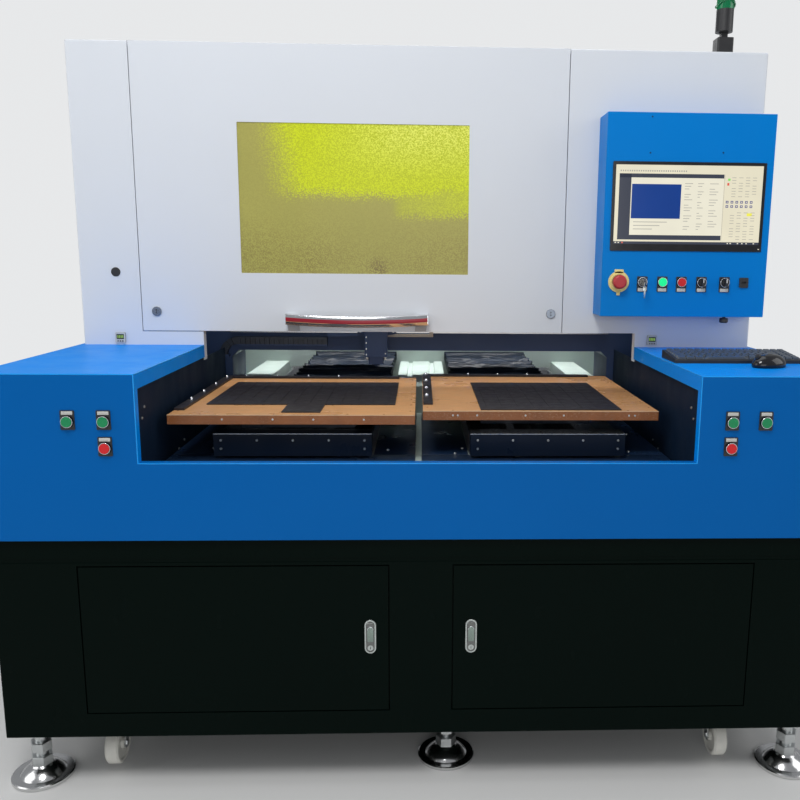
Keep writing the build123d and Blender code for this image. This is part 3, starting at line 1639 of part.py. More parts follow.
# Gantry: portal with a hollow beam, front rails, chain tray and chain bracket
beam_y = front_y + beam_front
beam_top = beam_bottom + beam_height
slider_z = slider_bottom + slider_height / 2
portal_half = pillar_inner + pillar_width
with BuildPart() as gantry_beam:
    with BuildSketch(facing(0, beam_y, 0)):
        with BuildLine():
            Polyline(
                (-portal_half, bed_top), (-pillar_inner, bed_top),
                (-pillar_inner, beam_bottom - pillar_chamfer),
                (-pillar_inner + pillar_chamfer, beam_bottom),
                (pillar_inner - pillar_chamfer, beam_bottom),
                (pillar_inner, beam_bottom - pillar_chamfer),
                (pillar_inner, bed_top), (portal_half, bed_top),
                (portal_half, beam_top), (-portal_half, beam_top), close=True,
            )
        make_face()
    extrude(amount=-beam_depth)
    chamfer(gantry_beam.edges().filter_by(Axis.X).group_by(Axis.Z)[-1], 3)
    # hollow beam, open at both ends
    block(
        -portal_half, portal_half, beam_y + beam_wall, beam_y + beam_depth - beam_wall,
        beam_bottom + beam_wall, beam_top - beam_wall, Mode.SUBTRACT,
    )
    # rails on the front face
    for rail_z in (slider_z - beam_rail_spacing / 2, slider_z + beam_rail_spacing / 2):
        block(
            -pillar_inner, pillar_inner, beam_y - beam_rail_height, beam_y,
            rail_z - beam_rail_width / 2, rail_z + beam_rail_width / 2,
        )
    # tray under the cable chain and the bracket at its fixed end
    chain_y = beam_y - face_gap - chain_width
    block(
        chain_bend_x, chain_right, chain_y, beam_y, chain_bottom - tray_sheet, chain_bottom,
    )
    bend_z = chain_bottom + chain_height / 2 - chain_bend_radius
    block(
        chain_bracket_left, chain_bracket_right, chain_y, beam_y,
        bend_z - chain_bracket_height, bend_z,
    )
save(gantry_beam, "gantry_beam")

# Cable chain: straight run and a quarter bend with grooves between its links
bend_outer = chain_bend_radius + chain_height / 2
bend_inner = chain_bend_radius - chain_height / 2
with BuildPart() as cable_chain:
    with BuildSketch(facing(0, chain_y, 0)):
        with Locations((chain_bend_x, bend_z)):
            Circle(bend_outer)
            Circle(bend_inner, mode=Mode.SUBTRACT)
        with Locations((chain_bend_x - bend_outer, bend_z + bend_outer)):
            Rectangle(2 * bend_outer, 2 * bend_outer, mode=Mode.INTERSECT)
        with Locations(((chain_bend_x + chain_right) / 2, chain_bottom + chain_height / 2)):
            Rectangle(chain_right - chain_bend_x, chain_height)
    extrude(amount=-chain_width)
    straight_links = int((chain_right - chain_bend_x) // chain_pitch)
    bend_step = math.degrees(chain_pitch / chain_bend_radius)
    bend_links = int(90 // bend_step)
    with BuildSketch(facing(0, chain_y, 0)):
        for index in range(1, straight_links + 1):
            with Locations((chain_right - index * chain_pitch, chain_bottom + chain_height / 2)):
                Rectangle(chain_slot, chain_height + 2)
        for index in range(1, bend_links + 1):
            angle = 90 + index * bend_step
            x = chain_bend_x + chain_bend_radius * math.cos(math.radians(angle))
            z = bend_z + chain_bend_radius * math.sin(math.radians(angle))
            with Locations((x, z)):
                Rectangle(chain_height + 2, chain_slot, rotation=angle)
    extrude(amount=-chain_slot_depth, mode=Mode.SUBTRACT)
save(cable_chain, "cable_chain")

# Carriage on the gantry rails, with the chain arm and a sensor arm
slider_back = beam_y - beam_rail_height - face_gap
slider_front = slider_back - slider_thickness
chain_arm_bottom = chain_bottom + chain_height + chain_arm_lift
with BuildPart() as x_carriage:
    with BuildSketch(facing(head_x, slider_front, slider_z)):
        RectangleRounded(slider_width, slider_height, slider_corner)
        with GridLocations(slider_width - 4 * slider_corner, slider_height - 4 * slider_corner, 2, 2):
            Circle(slider_hole_radius, mode=Mode.SUBTRACT)
    extrude(amount=-slider_thickness)
    block(
        chain_right, head_x, slider_front, slider_front + chain_arm_depth,
        chain_arm_bottom, chain_arm_bottom + chain_arm_height,
    )
    block(
        head_x, sensor_arm_end, slider_front, slider_front + chain_arm_depth,
        sensor_arm_bottom, slider_bottom,
    )
    block(
        sensor_arm_end - sensor_post_width, sensor_arm_end,
        slider_front, slider_front + chain_arm_depth,
        sensor_arm_bottom, sensor_arm_bottom + sensor_post_height,
    )
save(x_carriage, "x_carriage")

# Laser head: box, optics column and nozzle
head_back = slider_front - face_gap
head_front = head_back - head_depth
head_middle = (head_back + head_front) / 2
with BuildPart() as laser_head:
    with BuildSketch(Plane.XY.offset(head_bottom)):
        with Locations((head_x, head_middle)):
            RectangleRounded(head_width, head_depth, head_corner)
    extrude(amount=head_top - head_bottom)
    chamfer(laser_head.faces().sort_by(Axis.Z)[-1].edges(), head_corner)
    with BuildSketch(Plane.XY.offset(column_bottom)):
        with Locations((head_x, head_middle)):
            RectangleRounded(column_width, column_depth, 2 * head_corner)
    extrude(amount=head_bottom - column_bottom)
    with BuildSketch(Plane.XZ.offset(-head_middle)):
        with BuildLine():
            Polyline(
                (head_x, column_bottom), (head_x + nozzle_radius, column_bottom),
                (head_x + nozzle_tip_radius, nozzle_bottom), (head_x, nozzle_bottom), close=True,
            )
        make_face()
    revolve(axis=Axis((head_x, head_middle, 0), (0, 0, 1)))
    # silver guide pins at the box's lower corners
    pin_x_offset = head_width / 2 - 1.5 * head_pin_radius
    with BuildSketch(Plane.XY.offset(head_bottom)):
        with Locations(
            (head_x - pin_x_offset, head_front + 2 * head_pin_radius),
            (head_x + pin_x_offset, head_front + 2 * head_pin_radius),
        ):
            Circle(head_pin_radius)
    extrude(amount=-head_pin_drop)
    # joint line of the head's front cover
    with BuildSketch(facing(head_x, head_front, (head_bottom + head_top) / 2)):
        Rectangle(head_width - 5 * head_corner, head_top - head_bottom - 7 * head_corner)
        Rectangle(
            head_width - 6 * head_corner, head_top - head_bottom - 8 * head_corner,
            mode=Mode.SUBTRACT,
        )
    extrude(amount=-1, mode=Mode.SUBTRACT)
save(laser_head, "laser_head")

# Laser source: finned box on the gantry beam
with BuildPart() as laser_source:
    block(
        -source_width / 2, source_width / 2, beam_y, beam_y + source_depth,
        beam_top, beam_top + source_height,
    )
    chamfer(laser_source.edges().filter_by(Axis.Z), source_corner)
    fin_span = source_width - 2 * source_end_margin
    fin_count = int(fin_span // source_fin_pitch)
    with BuildSketch(Plane.XY.offset(beam_top + source_height)):
        with Locations((0, beam_y + source_depth / 2)):
            with GridLocations(source_fin_pitch, 0, fin_count, 1):
                Rectangle(source_slot_width, source_depth + 2)
    extrude(amount=-source_slot_depth, mode=Mode.SUBTRACT)
    # foot strips under the box
    foot_half = source_width / 2 + source_foot_width
    for foot_y in (beam_y + source_foot_width, beam_y + beam_depth - 2 * source_foot_width):
        block(
            -foot_half, foot_half, foot_y, foot_y + source_foot_width,
            beam_top, beam_top + source_foot_height,
        )
save(laser_source, "laser_source")

# Signal tower: forked base, folding body with dark rings, and three lenses
tower_y = upper_front + tower_setback
tower_base_top = upper_top + tower_base_height
tower_pin_z = tower_base_top - tower_pin_drop
half_base = tower_base_width / 2
with BuildPart() as tower_base:
    with BuildSketch(Plane.XY.offset(upper_top)):
        with Locations((tower_x, tower_y)):
            RectangleRounded(tower_base_width, tower_base_width, tower_base_round)
    extrude(amount=tower_base_height)
    chamfer(tower_base.faces().sort_by(Axis.Z)[-1].edges(), 1)
    block(
        tower_x - tower_slot_half, tower_x + tower_slot_half,
        tower_y - half_base + tower_slot_front, tower_y + half_base + 1,
        upper_top + tower_slot_floor, tower_base_top + 1, Mode.SUBTRACT,
    )
    with BuildSketch(Plane.YZ.offset(tower_x - tower_slot_half - 2)):
        with Locations((tower_y, tower_pin_z)):
            Circle(tower_pin_radius)
    extrude(amount=2 * (tower_slot_half + 2))
save(tower_base, "tower_base")

body_bottom = tower_base_top + tower_neck_height
lens_bottom = body_bottom + tower_body_height
with BuildPart() as tower_body:
    with BuildSketch(Plane.YZ.offset(tower_x - tower_tongue_half)):
        with Locations((tower_y, tower_pin_z)):
            Circle(tower_knuckle_radius)
        with Locations((tower_y, (tower_pin_z + body_bottom) / 2)):
            Rectangle(tower_tongue_depth, body_bottom - tower_pin_z)
        with Locations((tower_y, tower_pin_z)):
            Circle(tower_pin_radius + slip, mode=Mode.SUBTRACT)
    extrude(amount=2 * tower_tongue_half)
    with BuildSketch(Plane.XY.offset(body_bottom - tower_collar_height)):
        with Locations((tower_x, tower_y)):
            Circle(tower_collar_radius)
    extrude(amount=tower_collar_height)
    with BuildSketch(Plane.XY.offset(body_bottom)):
        with Locations((tower_x, tower_y)):
            Circle(tower_radius)
    extrude(amount=tower_body_height)
    with BuildSketch(Plane.XY.offset(lens_bottom)):
        with Locations((tower_x, tower_y)):
            Circle(tower_rod_radius)
    extrude(amount=tower_segments * tower_segment_height)
    for index in range(1, tower_segments):
        ring_z = lens_bottom + index * tower_segment_height - tower_ring_height
        with BuildSketch(Plane.XY.offset(ring_z)):
            with Locations((tower_x, tower_y)):
                Circle(tower_radius)
        extrude(amount=tower_ring_height)
    with BuildSketch(Plane.XY.offset(lens_bottom + tower_segments * tower_segment_height)):
        with Locations((tower_x, tower_y)):
            Circle(tower_radius)
    extrude(amount=tower_cap_height)
    fillet(tower_body.faces().sort_by(Axis.Z)[-1].edges(), tower_cap_height - 2)
save(tower_body, "tower_body")

with BuildPart() as tower_lenses:
    for index in range(tower_segments):
        last = index == tower_segments - 1
        with BuildSketch(Plane.XY.offset(lens_bottom + index * tower_segment_height)):
            with Locations((tower_x, tower_y)):
                Circle(tower_radius)
                Circle(tower_rod_radius + slip, mode=Mode.SUBTRACT)
        extrude(amount=tower_segment_height - (0 if last else tower_ring_height))
save(tower_lenses, "tower_lenses")

# Keyboard on the right shelf: a wedge with a recess and rows of keys
keyboard_y = front_y + keyboard_front
keyboard_x = keyboard_left + keyboard_width / 2
slope = math.atan2(keyboard_rear_height - keyboard_front_height, keyboard_depth)
key_plane = Plane(
    origin=(keyboard_x, keyboard_y, housing_top + keyboard_front_height),
    x_dir=(1, 0, 0),
    z_dir=(0, -math.sin(slope), math.cos(slope)),
)
with BuildPart() as keyboard:
    with BuildSketch(Plane.XY.offset(housing_top)):
        with Locations((keyboard_x, keyboard_y + keyboard_depth / 2)):
            RectangleRounded(keyboard_width, keyboard_depth, keyboard_corner)
    extrude(amount=keyboard_rear_height)
    with BuildSketch(Plane.YZ.offset(keyboard_left - 1)):
        with BuildLine():
            Polyline(
                (keyboard_y - 1, housing_top + keyboard_front_height),
                (keyboard_y, housing_top + keyboard_front_height),
                (keyboard_y + keyboard_depth, housing_top + keyboard_rear_height),
                (keyboard_y + keyboard_depth, housing_top + 2 * keyboard_rear_height),
                (keyboard_y - 1, housing_top + 2 * keyboard_rear_height), close=True,
            )
        make_face()
    extrude(amount=keyboard_width + 2, mode=Mode.SUBTRACT)
    slope_length = keyboard_depth / math.cos(slope)
    with BuildSketch(key_plane):
        with Locations((0, slope_length / 2)):
            Rectangle(
                keyboard_width - 2 * keyboard_margin, slope_length - 3 * keyboard_margin,
            )
    extrude(amount=-keyboard_recess, mode=Mode.SUBTRACT)
    with BuildSketch(key_plane.offset(-keyboard_recess)):
        with Locations((0, slope_length / 2)):
            with GridLocations(key_pitch, key_pitch, key_columns, key_rows):
                Rectangle(key_size, key_size)
    extrude(amount=key_rise, taper=8)
save(keyboard, "keyboard")

# Mouse: lofted over ovals
with BuildPart() as mouse:
    for rise, scale in mouse_sections:
        with BuildSketch(Plane.XY.offset(housing_top + rise * mouse_height)):
            with Locations((mouse_x, front_y + mouse_y)):
                Ellipse(scale * mouse_length / 2, scale * mouse_width / 2, rotation=mouse_angle)
    loft()
save(mouse, "mouse")
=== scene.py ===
"""Looks of a laser glass cutting machine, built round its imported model.

Lengths are metres in the model's frame: +X to the operator's right, +Y to the back, +Z up.
"""
import json
import logging
import math
from dataclasses import dataclass
from enum import Enum
from typing import Callable, Iterable, Sequence

import bmesh
import bpy
from mathutils import Matrix, Vector


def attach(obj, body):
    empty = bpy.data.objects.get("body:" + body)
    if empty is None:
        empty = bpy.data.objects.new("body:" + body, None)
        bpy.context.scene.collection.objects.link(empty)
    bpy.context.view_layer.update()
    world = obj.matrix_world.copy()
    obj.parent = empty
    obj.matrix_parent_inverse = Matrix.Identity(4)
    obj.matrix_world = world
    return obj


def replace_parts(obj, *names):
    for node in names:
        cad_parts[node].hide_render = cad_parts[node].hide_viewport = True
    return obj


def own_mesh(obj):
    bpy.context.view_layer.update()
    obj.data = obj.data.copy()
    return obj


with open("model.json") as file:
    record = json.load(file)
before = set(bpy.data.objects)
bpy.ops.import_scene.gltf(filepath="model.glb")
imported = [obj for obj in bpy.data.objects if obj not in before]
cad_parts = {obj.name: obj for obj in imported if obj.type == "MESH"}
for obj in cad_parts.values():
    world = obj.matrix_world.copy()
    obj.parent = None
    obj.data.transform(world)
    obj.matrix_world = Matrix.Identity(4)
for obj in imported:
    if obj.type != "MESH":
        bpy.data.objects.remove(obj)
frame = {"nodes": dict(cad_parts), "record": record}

log = logging.getLogger("glass_cutter")

Color = tuple[float, float, float]
Point2 = tuple[float, float]
Point3 = tuple[float, float, float]
Node = bpy.types.Node
Socket = bpy.types.NodeSocket

# Main planes of the machine
APRON_Y = -0.7945
CABINET_Y = -0.1765
CONSOLE_Y = -0.2781
SHELF_Z = 1.050
TABLE_Z = 0.925

FORWARD: Point3 = (0.0, -1.0, 0.0)
UPRIGHT = Matrix.Identity(4)


# Node trees
class Tree:
    """Adds nodes to a shader or geometry tree and joins them."""

    def __init__(self, tree: bpy.types.NodeTree) -> None:
        """Work on a node tree.

        Args:
            tree: the node tree to fill.
        """
        self.tree = tree

    def feed(self, node: Node, inputs: dict) -> None:
        """Set or link a node's inputs.

        Args:
            node: the node to feed.
            inputs: socket name or index to a value or an output socket.
        """
        for key, value in inputs.items():
            socket = node.inputs[key]
            if isinstance(value, Socket):
                self.tree.links.new(value, socket)
            elif socket.type == "RGBA" and len(value) == 3:
                socket.default_value = (*value, 1.0)
            else:
                socket.default_value = value

    def add(self, kind: str, inputs: dict | None = None, **settings: object) -> Node:
        """Add one node.

        Args:
            kind: the node's type name.
            inputs: what its inputs are fed with.
            settings: properties of the node itself.

        Returns:
            The new node.
        """
        node = self.tree.nodes.new(kind)
        for name, value in settings.items():
            setattr(node, name, value)
        self.feed(node, inputs or {})
        return node

    def out(self, kind: str, inputs: dict | None = None, **settings: object) -> Socket:
        """Add one node and return its first output."""
        return self.add(kind, inputs, **settings).outputs[0]

    def math(self, operation: str, *values: object) -> Socket:
        """One Math node; returns its result."""
        return self.out("ShaderNodeMath", dict(enumerate(values)), operation=operation)

    def plus(self, first: object, second: object) -> Socket:
        """The sum of two values."""
        return self.math("ADD", first, second)

    def minus(self, first: object, second: object) -> Socket:
        """The first value less the second."""
        return self.math("SUBTRACT", first, second)

    def times(self, first: object, second: object) -> Socket:
        """The product of two values."""
        return self.math("MULTIPLY", first, second)

    def point(self, *parts: object) -> Socket:
        """A vector from up to three parts."""
        return self.out("ShaderNodeCombineXYZ", dict(enumerate(parts)))

    def parts(self, vector: Socket) -> Sequence[Socket]:
        """The three parts of a vector."""
        return self.add("ShaderNodeSeparateXYZ", {0: vector}).outputs

    def noise(
        self, coords: Socket, scale: float, detail: float = 3.0, stretch: Point3 = (1, 1, 1)
    ) -> Socket:
        """Noise over coordinates.

        Args:
            coords: where it is read.
            scale: how fine it is.
            detail: how many finer layers lie over it.
            stretch: a part below 1 draws it out along that axis.

        Returns:
            The noise, about 0 to 1.
        """
        if stretch != (1, 1, 1):
            coords = self.out("ShaderNodeMapping", {"Vector": coords, "Scale": stretch})
        return self.out(
            "ShaderNodeTexNoise", {"Vector": coords, "Scale": scale, "Detail": detail}
        )

    def span(
        self, value: Socket, low: float, high: float, to_low: float = 0.0, to_high: float = 1.0,
        **settings: str,
    ) -> Socket:
        """Map a value's range to another one, clamped."""
        inputs = {0: value, 1: low, 2: high, 3: to_low, 4: to_high}
        return self.out("ShaderNodeMapRange", inputs, **settings)

    def soft(self, *inputs: object) -> Socket:
        """Map a value's range as span does, with eased ends."""
        return self.span(*inputs, interpolation_type="SMOOTHSTEP")

    def mix(self, factor: object, first: object, second: object) -> Socket:
        """Mix two colours; returns the mixed one."""
        inputs = {0: factor, 6: first, 7: second}
        return self.add("ShaderNodeMix", inputs, data_type="RGBA").outputs[2]

    def bump(self, height: Socket, distance: float, **inputs: object) -> Socket:
        """A bumped normal from a height between 0 and 1."""
        return self.out("ShaderNodeBump", {"Height": height, "Distance": distance, **inputs})

    def close(self, geometry: Socket, finish: Socket) -> None:
        """End a geometry tree: real geometry that has its finish.

        Args:
            geometry: what the tree made.
            finish: its material.
        """
        real = self.out("GeometryNodeRealizeInstances", {0: geometry})
        inputs = {"Geometry": real, "Material": finish}
        self.add("NodeGroupOutput", {0: self.out("GeometryNodeSetMaterial", inputs)})


def shade(color: Color, factor: float) -> Color:
    """A colour made darker or lighter by a factor."""
    return tuple(min(1.0, part * factor) for part in color)


class Skin(Tree):
    """A material's tree, with its shader and the object's own coordinates."""

    def __init__(self, material: bpy.types.Material) -> None:
        """Start with a plain shader.

        Args:
            material: the new material.
        """
        material.use_nodes = True
        super().__init__(material.node_tree)
        self.tree.nodes.clear()
        self.shader = self.add("ShaderNodeBsdfPrincipled")
        self.output = self.add("ShaderNodeOutputMaterial", {"Surface": self.shader.outputs[0]})
        self.coords = self.add("ShaderNodeTexCoord").outputs["Object"]

    def paint(self, inputs: dict) -> None:
        """Feed the shader."""
        self.feed(self.shader, inputs)

    def cloud(self, *inputs: object) -> Socket:
        """Noise over the object's own coordinates."""
        return self.noise(self.coords, *inputs)

    def tone(self, factor: Socket, color: Color, dark: float, pale: float) -> Socket:
        """A colour that goes from one shade of itself to another."""
        return self.mix(factor, shade(color, dark), shade(color, pale))


# Finishes
_made: dict[str, bpy.types.Material] = {}


@dataclass(frozen=True)
class Finish:
    """A surface finish, whose material is made once and then shared."""

    name: str
    color: Color
    roughness: float = 0.4

    def material(self) -> bpy.types.Material:
        """The finish as a material, made at the first call.

        Returns:
            The shared material.
        """
        if self.name not in _made:
            made = _made[self.name] = bpy.data.materials.new(self.name)
            skin = Skin(made)
            skin.paint({"Base Color": self.color, "Roughness": self.roughness})
            self.dress(skin)
            made.diffuse_color = (*self.color, 1.0)
        return _made[self.name]

    def gloss(self, skin: Skin, value: Socket, shine: float, dull: float) -> Socket:
        """Roughness that goes from one share of the finish's own to another."""
        return skin.span(value, 0.3, 0.7, self.roughness * shine, self.roughness * dull)

    def dress(self, skin: Skin) -> None:
        """Add what the plain shader lacks."""


@dataclass(frozen=True)
class Paint(Finish):
    """Powder coat with orange peel, slow changes of tone and uneven gloss."""

    specular: float = 0.5
    peel: float = 0.003
    depth: float = 0.00003
    drift: float = 0.04

    def dress(self, skin: Skin) -> None:
        """Clouds in the colour, wiped patches in the gloss, orange peel in the normal.

        Args:
            skin: the material's tree.
        """
        cloud = skin.cloud(2.3, 4.0)
        wiped = skin.cloud(13.0, 5.0, (1, 1, 0.55))
        dull, shine = self.roughness * 1.18, self.roughness * 0.86
        skin.paint({
            "Base Color": skin.tone(cloud, self.color, 1 - self.drift, 1 + self.drift),
            "Roughness": skin.span(wiped, 0.32, 0.68, shine, dull),
            "Normal": skin.bump(skin.cloud(1 / self.peel, 2.0), self.depth),
            "Specular IOR Level": self.specular,
        })


@dataclass(frozen=True)
class Metal(Finish):
    """Bare or plated metal, with brushing drawn out along one axis and light tarnish."""

    along: Point3 = (1, 1, 1)
    line: float = 0.0008
    depth: float = 0.00001

    def dress(self, skin: Skin) -> None:
        """Fine lines in gloss and normal, and a stained tone.

        Args:
            skin: the material's tree.
        """
        lines = skin.cloud(1 / self.line, 2.0, self.along)
        skin.paint({
            "Base Color": skin.tone(skin.cloud(21.0, 4.0), self.color, 0.88, 1.06),
            "Roughness": self.gloss(skin, lines, 0.75, 1.3), "Metallic": 1.0,
            "Normal": skin.bump(lines, self.depth),
        })


@dataclass(frozen=True)
class Moulding(Finish):
    """Moulded plastic or rubber with a fine grain; a lit cap glows as a lamp, other caps and
    lenses get a faint painted glow.
    """

    grain: float = 0.0009
    depth: float = 0.00002
    glow: float = 0.0
    through: float = 0.0
    specular: float = 0.5

    def dress(self, skin: Skin) -> None:
        """Grain in the normal, handling marks in the gloss.

        Args:
            skin: the material's tree.
        """
        touch = skin.cloud(45.0, 4.0)
        skin.paint({
            "Base Color": skin.tone(touch, self.color, 0.92, 1.08),
            "Roughness": self.gloss(skin, touch, 0.85, 1.2),
            "Normal": skin.bump(skin.cloud(1 / self.grain, 2.0), self.depth),
            "Emission Color": self.color, "Emission Strength": self.glow,
            "Transmission Weight": self.through, "Specular IOR Level": self.specular,
        })


@dataclass(frozen=True)
class Board(Finish):
    """Resin-bonded laminate: drawn-out fibres, flecks, and layers that show on the edges."""

    layer: float = 0.0016
    fleck: Color = (0.75, 0.6, 0.45)

    def dress(self, skin: Skin) -> None:
        """Fibres and flecks over the face, layers by height.

        Args:
            skin: the material's tree.
        """
        fibre = skin.cloud(190.0, 5.0, (0.12, 1, 0.05))
        cross = skin.cloud(260.0, 4.0, (1, 0.15, 0.05))
        cloud = skin.cloud(7.0, 4.0)
        height = skin.parts(skin.coords)[2]
        layers = skin.math("SINE", skin.times(height, math.tau / self.layer))
        base = skin.tone(skin.span(fibre, 0.35, 0.65), self.color, 0.82, 1.13)
        for value, low, high, share, other in (
            (cross, 0.55, 0.75, 0.5, shade(self.color, 0.68)),
            (cloud, 0.35, 0.7, 0.35, shade(self.color, 1.25)),
            (skin.cloud(700.0, 1.0), 0.66, 0.72, 0.6, self.fleck),
            (layers, 0.55, 1.0, 0.35, shade(self.color, 0.5)),
        ):
            base = skin.mix(skin.span(value, low, high, 0.0, share), base, other)
        skin.paint({
            "Base Color": base, "Roughness": self.gloss(skin, cloud, 0.8, 1.3),
            "Coat Weight": 0.25, "Coat Roughness": 0.22, "Normal": skin.bump(fibre, 0.00004),
        })


@dataclass(frozen=True)
class CoatedCloth(Finish):
    """Black coated cloth: a fine weave under the coating, creases and a dull gloss."""

    thread: float = 0.0011
    specular: float = 0.08

    def dress(self, skin: Skin) -> None:
        """Weave and creases in the normal, worn patches in the gloss.

        Args:
            skin: the material's tree.
        """
        x, y = (
            skin.math("SINE", skin.times(part, math.tau / self.thread))
            for part in skin.parts(skin.coords)[:2]
        )
        weave = skin.span(skin.times(x, y), -1.0, 1.0)
        crease = skin.bump(skin.cloud(16.0, 4.0, (0.4, 1, 1)), 0.004)
        worn = skin.cloud(9.0, 5.0)
        skin.paint({
            "Base Color": skin.tone(skin.span(worn, 0.4, 0.7), self.color, 1.0, 1.9),
            "Roughness": self.gloss(skin, worn, 0.8, 1.35),
            "Coat Weight": 0.05, "Coat Roughness": 0.25, "Specular IOR Level": self.specular,
            "Normal": skin.bump(weave, 0.00005, Strength=0.6, Normal=crease),
        })


@dataclass(frozen=True)
class FilterPane(Finish):
    """Yellow-green laser filter: bright upper part painted as light on the pane, olive below, with
    a speckled skin.
    """

    top: float = 1.695
    bottom: float = 1.265
    left: float = -0.534
    right: float = 0.139
    stain: Point3 = (-0.1302, -0.174, 1.2865)
    stain_color: Color = (0.17, 0.12, 0.05)
    low_color: Color = (0.43, 0.40, 0.100)
    gap_share: Color = (0.62, 0.56, 0.60)
    gleam_color: Color = (0.86, 0.90, 0.16)

    def dress(self, skin: Skin) -> None:
        """A soft-edged field of painted light, a painted highlight, a slow cloud, a stain, and
        speckle over all.

        Args:
            skin: the material's tree.
        """
        x, _, z = skin.parts(skin.coords)
        cloud, grain = skin.cloud(7.0, 3.0), skin.cloud(330.0, 4.0)
        across = skin.span(x, self.left, self.right)
        down = skin.span(z, self.bottom, self.top, 1.0, 0.0)
        drift = skin.plus(skin.span(cloud, 0.3, 0.7, -0.018, 0.018),
                          skin.span(grain, 0.3, 0.7, -0.045, 0.045))
        # Painted light: a soft-edged bright field over the upper part, reaching lower at the
        # right.
        side = skin.minus(across, skin.times(down, 0.14))
        main = skin.plus(skin.minus(0.475, down), drift)
        step = skin.plus(skin.minus(0.60, down), drift)
        field = skin.times(skin.soft(main, -0.03, 0.05),
                           skin.soft(skin.plus(side, drift), 0.05, 0.25))
        half_lit = skin.times(skin.soft(step, -0.03, 0.03), skin.times(
            skin.soft(across, 0.65, 0.71), skin.span(across, 0.66, 1.0, 0.35, 0.8)
        ))
        field = skin.math("MAXIMUM", field, half_lit)
        # Painted highlight, strongest towards the upper right.
        painted_highlight = skin.times(skin.soft(across, 0.3, 0.8), skin.soft(down, 0.0, 0.42, 1.0, 0.0))
        speck = skin.span(grain, 0.41, 0.59)
        gaps = skin.minus(1.0, speck)
        gap_color = tuple(part * share for part, share in zip(self.low_color, self.gap_share))
        # The gaps in the speckle grow darker towards the bottom.
        low = skin.mix(skin.times(gaps, skin.soft(down, 0.55, 0.98, 0.25, 1.0)),
                       self.low_color, gap_color)
        low = skin.mix(skin.span(cloud, 0.35, 0.65, 0.0, 0.5), low, shade(self.low_color, 0.88))
        away = skin.add(
            "ShaderNodeVectorMath", {0: skin.coords, 1: self.stain}, operation="DISTANCE"
        ).outputs[1]
        stained = skin.times(skin.soft(away, 0.014, 0.038, 0.75, 0.0), gaps)
        low = skin.mix(stained, low, self.stain_color)
        bright = skin.mix(painted_highlight, self.color, self.gleam_color)
        high = skin.mix(speck, shade(self.color, 0.74), bright)
        skin.paint({
            "Base Color": skin.mix(field, low, high), "Specular IOR Level": 0.28,
            "Normal": skin.bump(grain, 0.000012), "Coat Weight": 0.12, "Coat Roughness": 0.15,
        })


@dataclass(frozen=True)
class Glow(Finish):
    """A lit field of a display, behind a clear front."""

    strength: float = 0.8

    def dress(self, skin: Skin) -> None:
        """Almost all of its light is its own, and a little uneven.

        Args:
            skin: the material's tree.
        """
        low, high = self.strength * 0.96, self.strength * 1.04
        skin.paint({
            "Base Color": shade(self.color, 0.12), "Roughness": 0.16,
            "Emission Color": self.color,
            "Emission Strength": skin.span(skin.cloud(9.0, 2.0), 0.3, 0.7, low, high),
        })


GLOSS_BLACK = Paint(
    "gloss_black_paint", (0.0010, 0.0042, 0.0030), 0.24, specular=0.045, depth=0.00002
)
BLUE = Paint("satin_blue_paint", (0.0, 0.112, 0.40), 0.36, specular=0.09, drift=0.05)
# Painted light: a paler copy of the satin blue for the console box, which hangs nearer the lamps.
LIT_CONSOLE_BLUE = Paint(
    "console_blue_paint", (0.0, 0.20, 0.62), 0.36, specular=0.09, drift=0.05
)
# Painted light: a paler copy of the satin blue for the shelf tops and the notch's side returns.
LIT_SHELF_BLUE = Paint("shelf_blue_paint", (0.0, 0.245, 0.80), 0.36, specular=0.07, drift=0.05)
# Painted highlight: a pale glossy blue for the round beads in the housing's folds.
HIGHLIGHT_BLUE = Paint("folded_blue_edge", (0.005, 0.30, 0.80), 0.22, specular=0.4, peel=0.001)
WHITE = Paint("textured_white_paint", (0.68, 0.71, 0.755), 0.5, peel=0.0022, drift=0.02)
NAVY = Paint("dark_navy_paint", (0.046, 0.078, 0.175), 0.42, specular=0.2)
GUARD_BLACK = Paint(
    "cover_black_paint", (0.0042, 0.0095, 0.0225), 0.3, specular=0.26, depth=0.00002
)
GUARD_NAVY = Paint("matt_navy_paint", (0.0045, 0.014, 0.034), 0.6, specular=0.14)
# Dark sheet paint, which also stands for the shade in the front of the bay.
FLOOR_NAVY = Paint("bay_floor_paint", (0.011, 0.027, 0.066), 0.3, specular=0.4)
BED_GREEN = Paint("grey_green_paint", (0.42, 0.50, 0.46), 0.42, drift=0.06)
STEEL = Metal("ground_steel", (0.55, 0.56, 0.58), 0.28, along=(1, 0.05, 1))
ZINC = Metal("bright_zinc", (0.58, 0.60, 0.60), 0.3)
CHROME = Metal("polished_chrome", (0.70, 0.71, 0.74), 0.12, depth=0.000002)
FOOT_CHROME = Metal("pressed_chrome", (0.66, 0.66, 0.66), 0.17, depth=0.000006)
SATIN = Metal("satin_plating", (0.56, 0.60, 0.58), 0.3, along=(1, 1, 0.08))
ALUMINIUM = Metal("anodised_aluminium", (0.42, 0.43, 0.45), 0.36, along=(0.08, 1, 1))
BLACK_PLASTIC = Moulding("moulded_black", (0.018, 0.018, 0.02), 0.42)
GLOSSY_BLACK = Moulding("glossy_black", (0.01, 0.01, 0.012), 0.14, depth=0.000003)
CHAIN_PLASTIC = Moulding("chain_link_black", (0.022, 0.031, 0.050), 0.42)
# Faint painted glow in the green cap.
GREEN_CAP = Moulding("green_cap", (0.0, 0.21, 0.07), 0.25, glow=0.12, depth=0.000006)
LIT_GREEN = Moulding("lit_green_cap", (0.0, 0.62, 0.2), 0.22, glow=0.75, depth=0.000006)
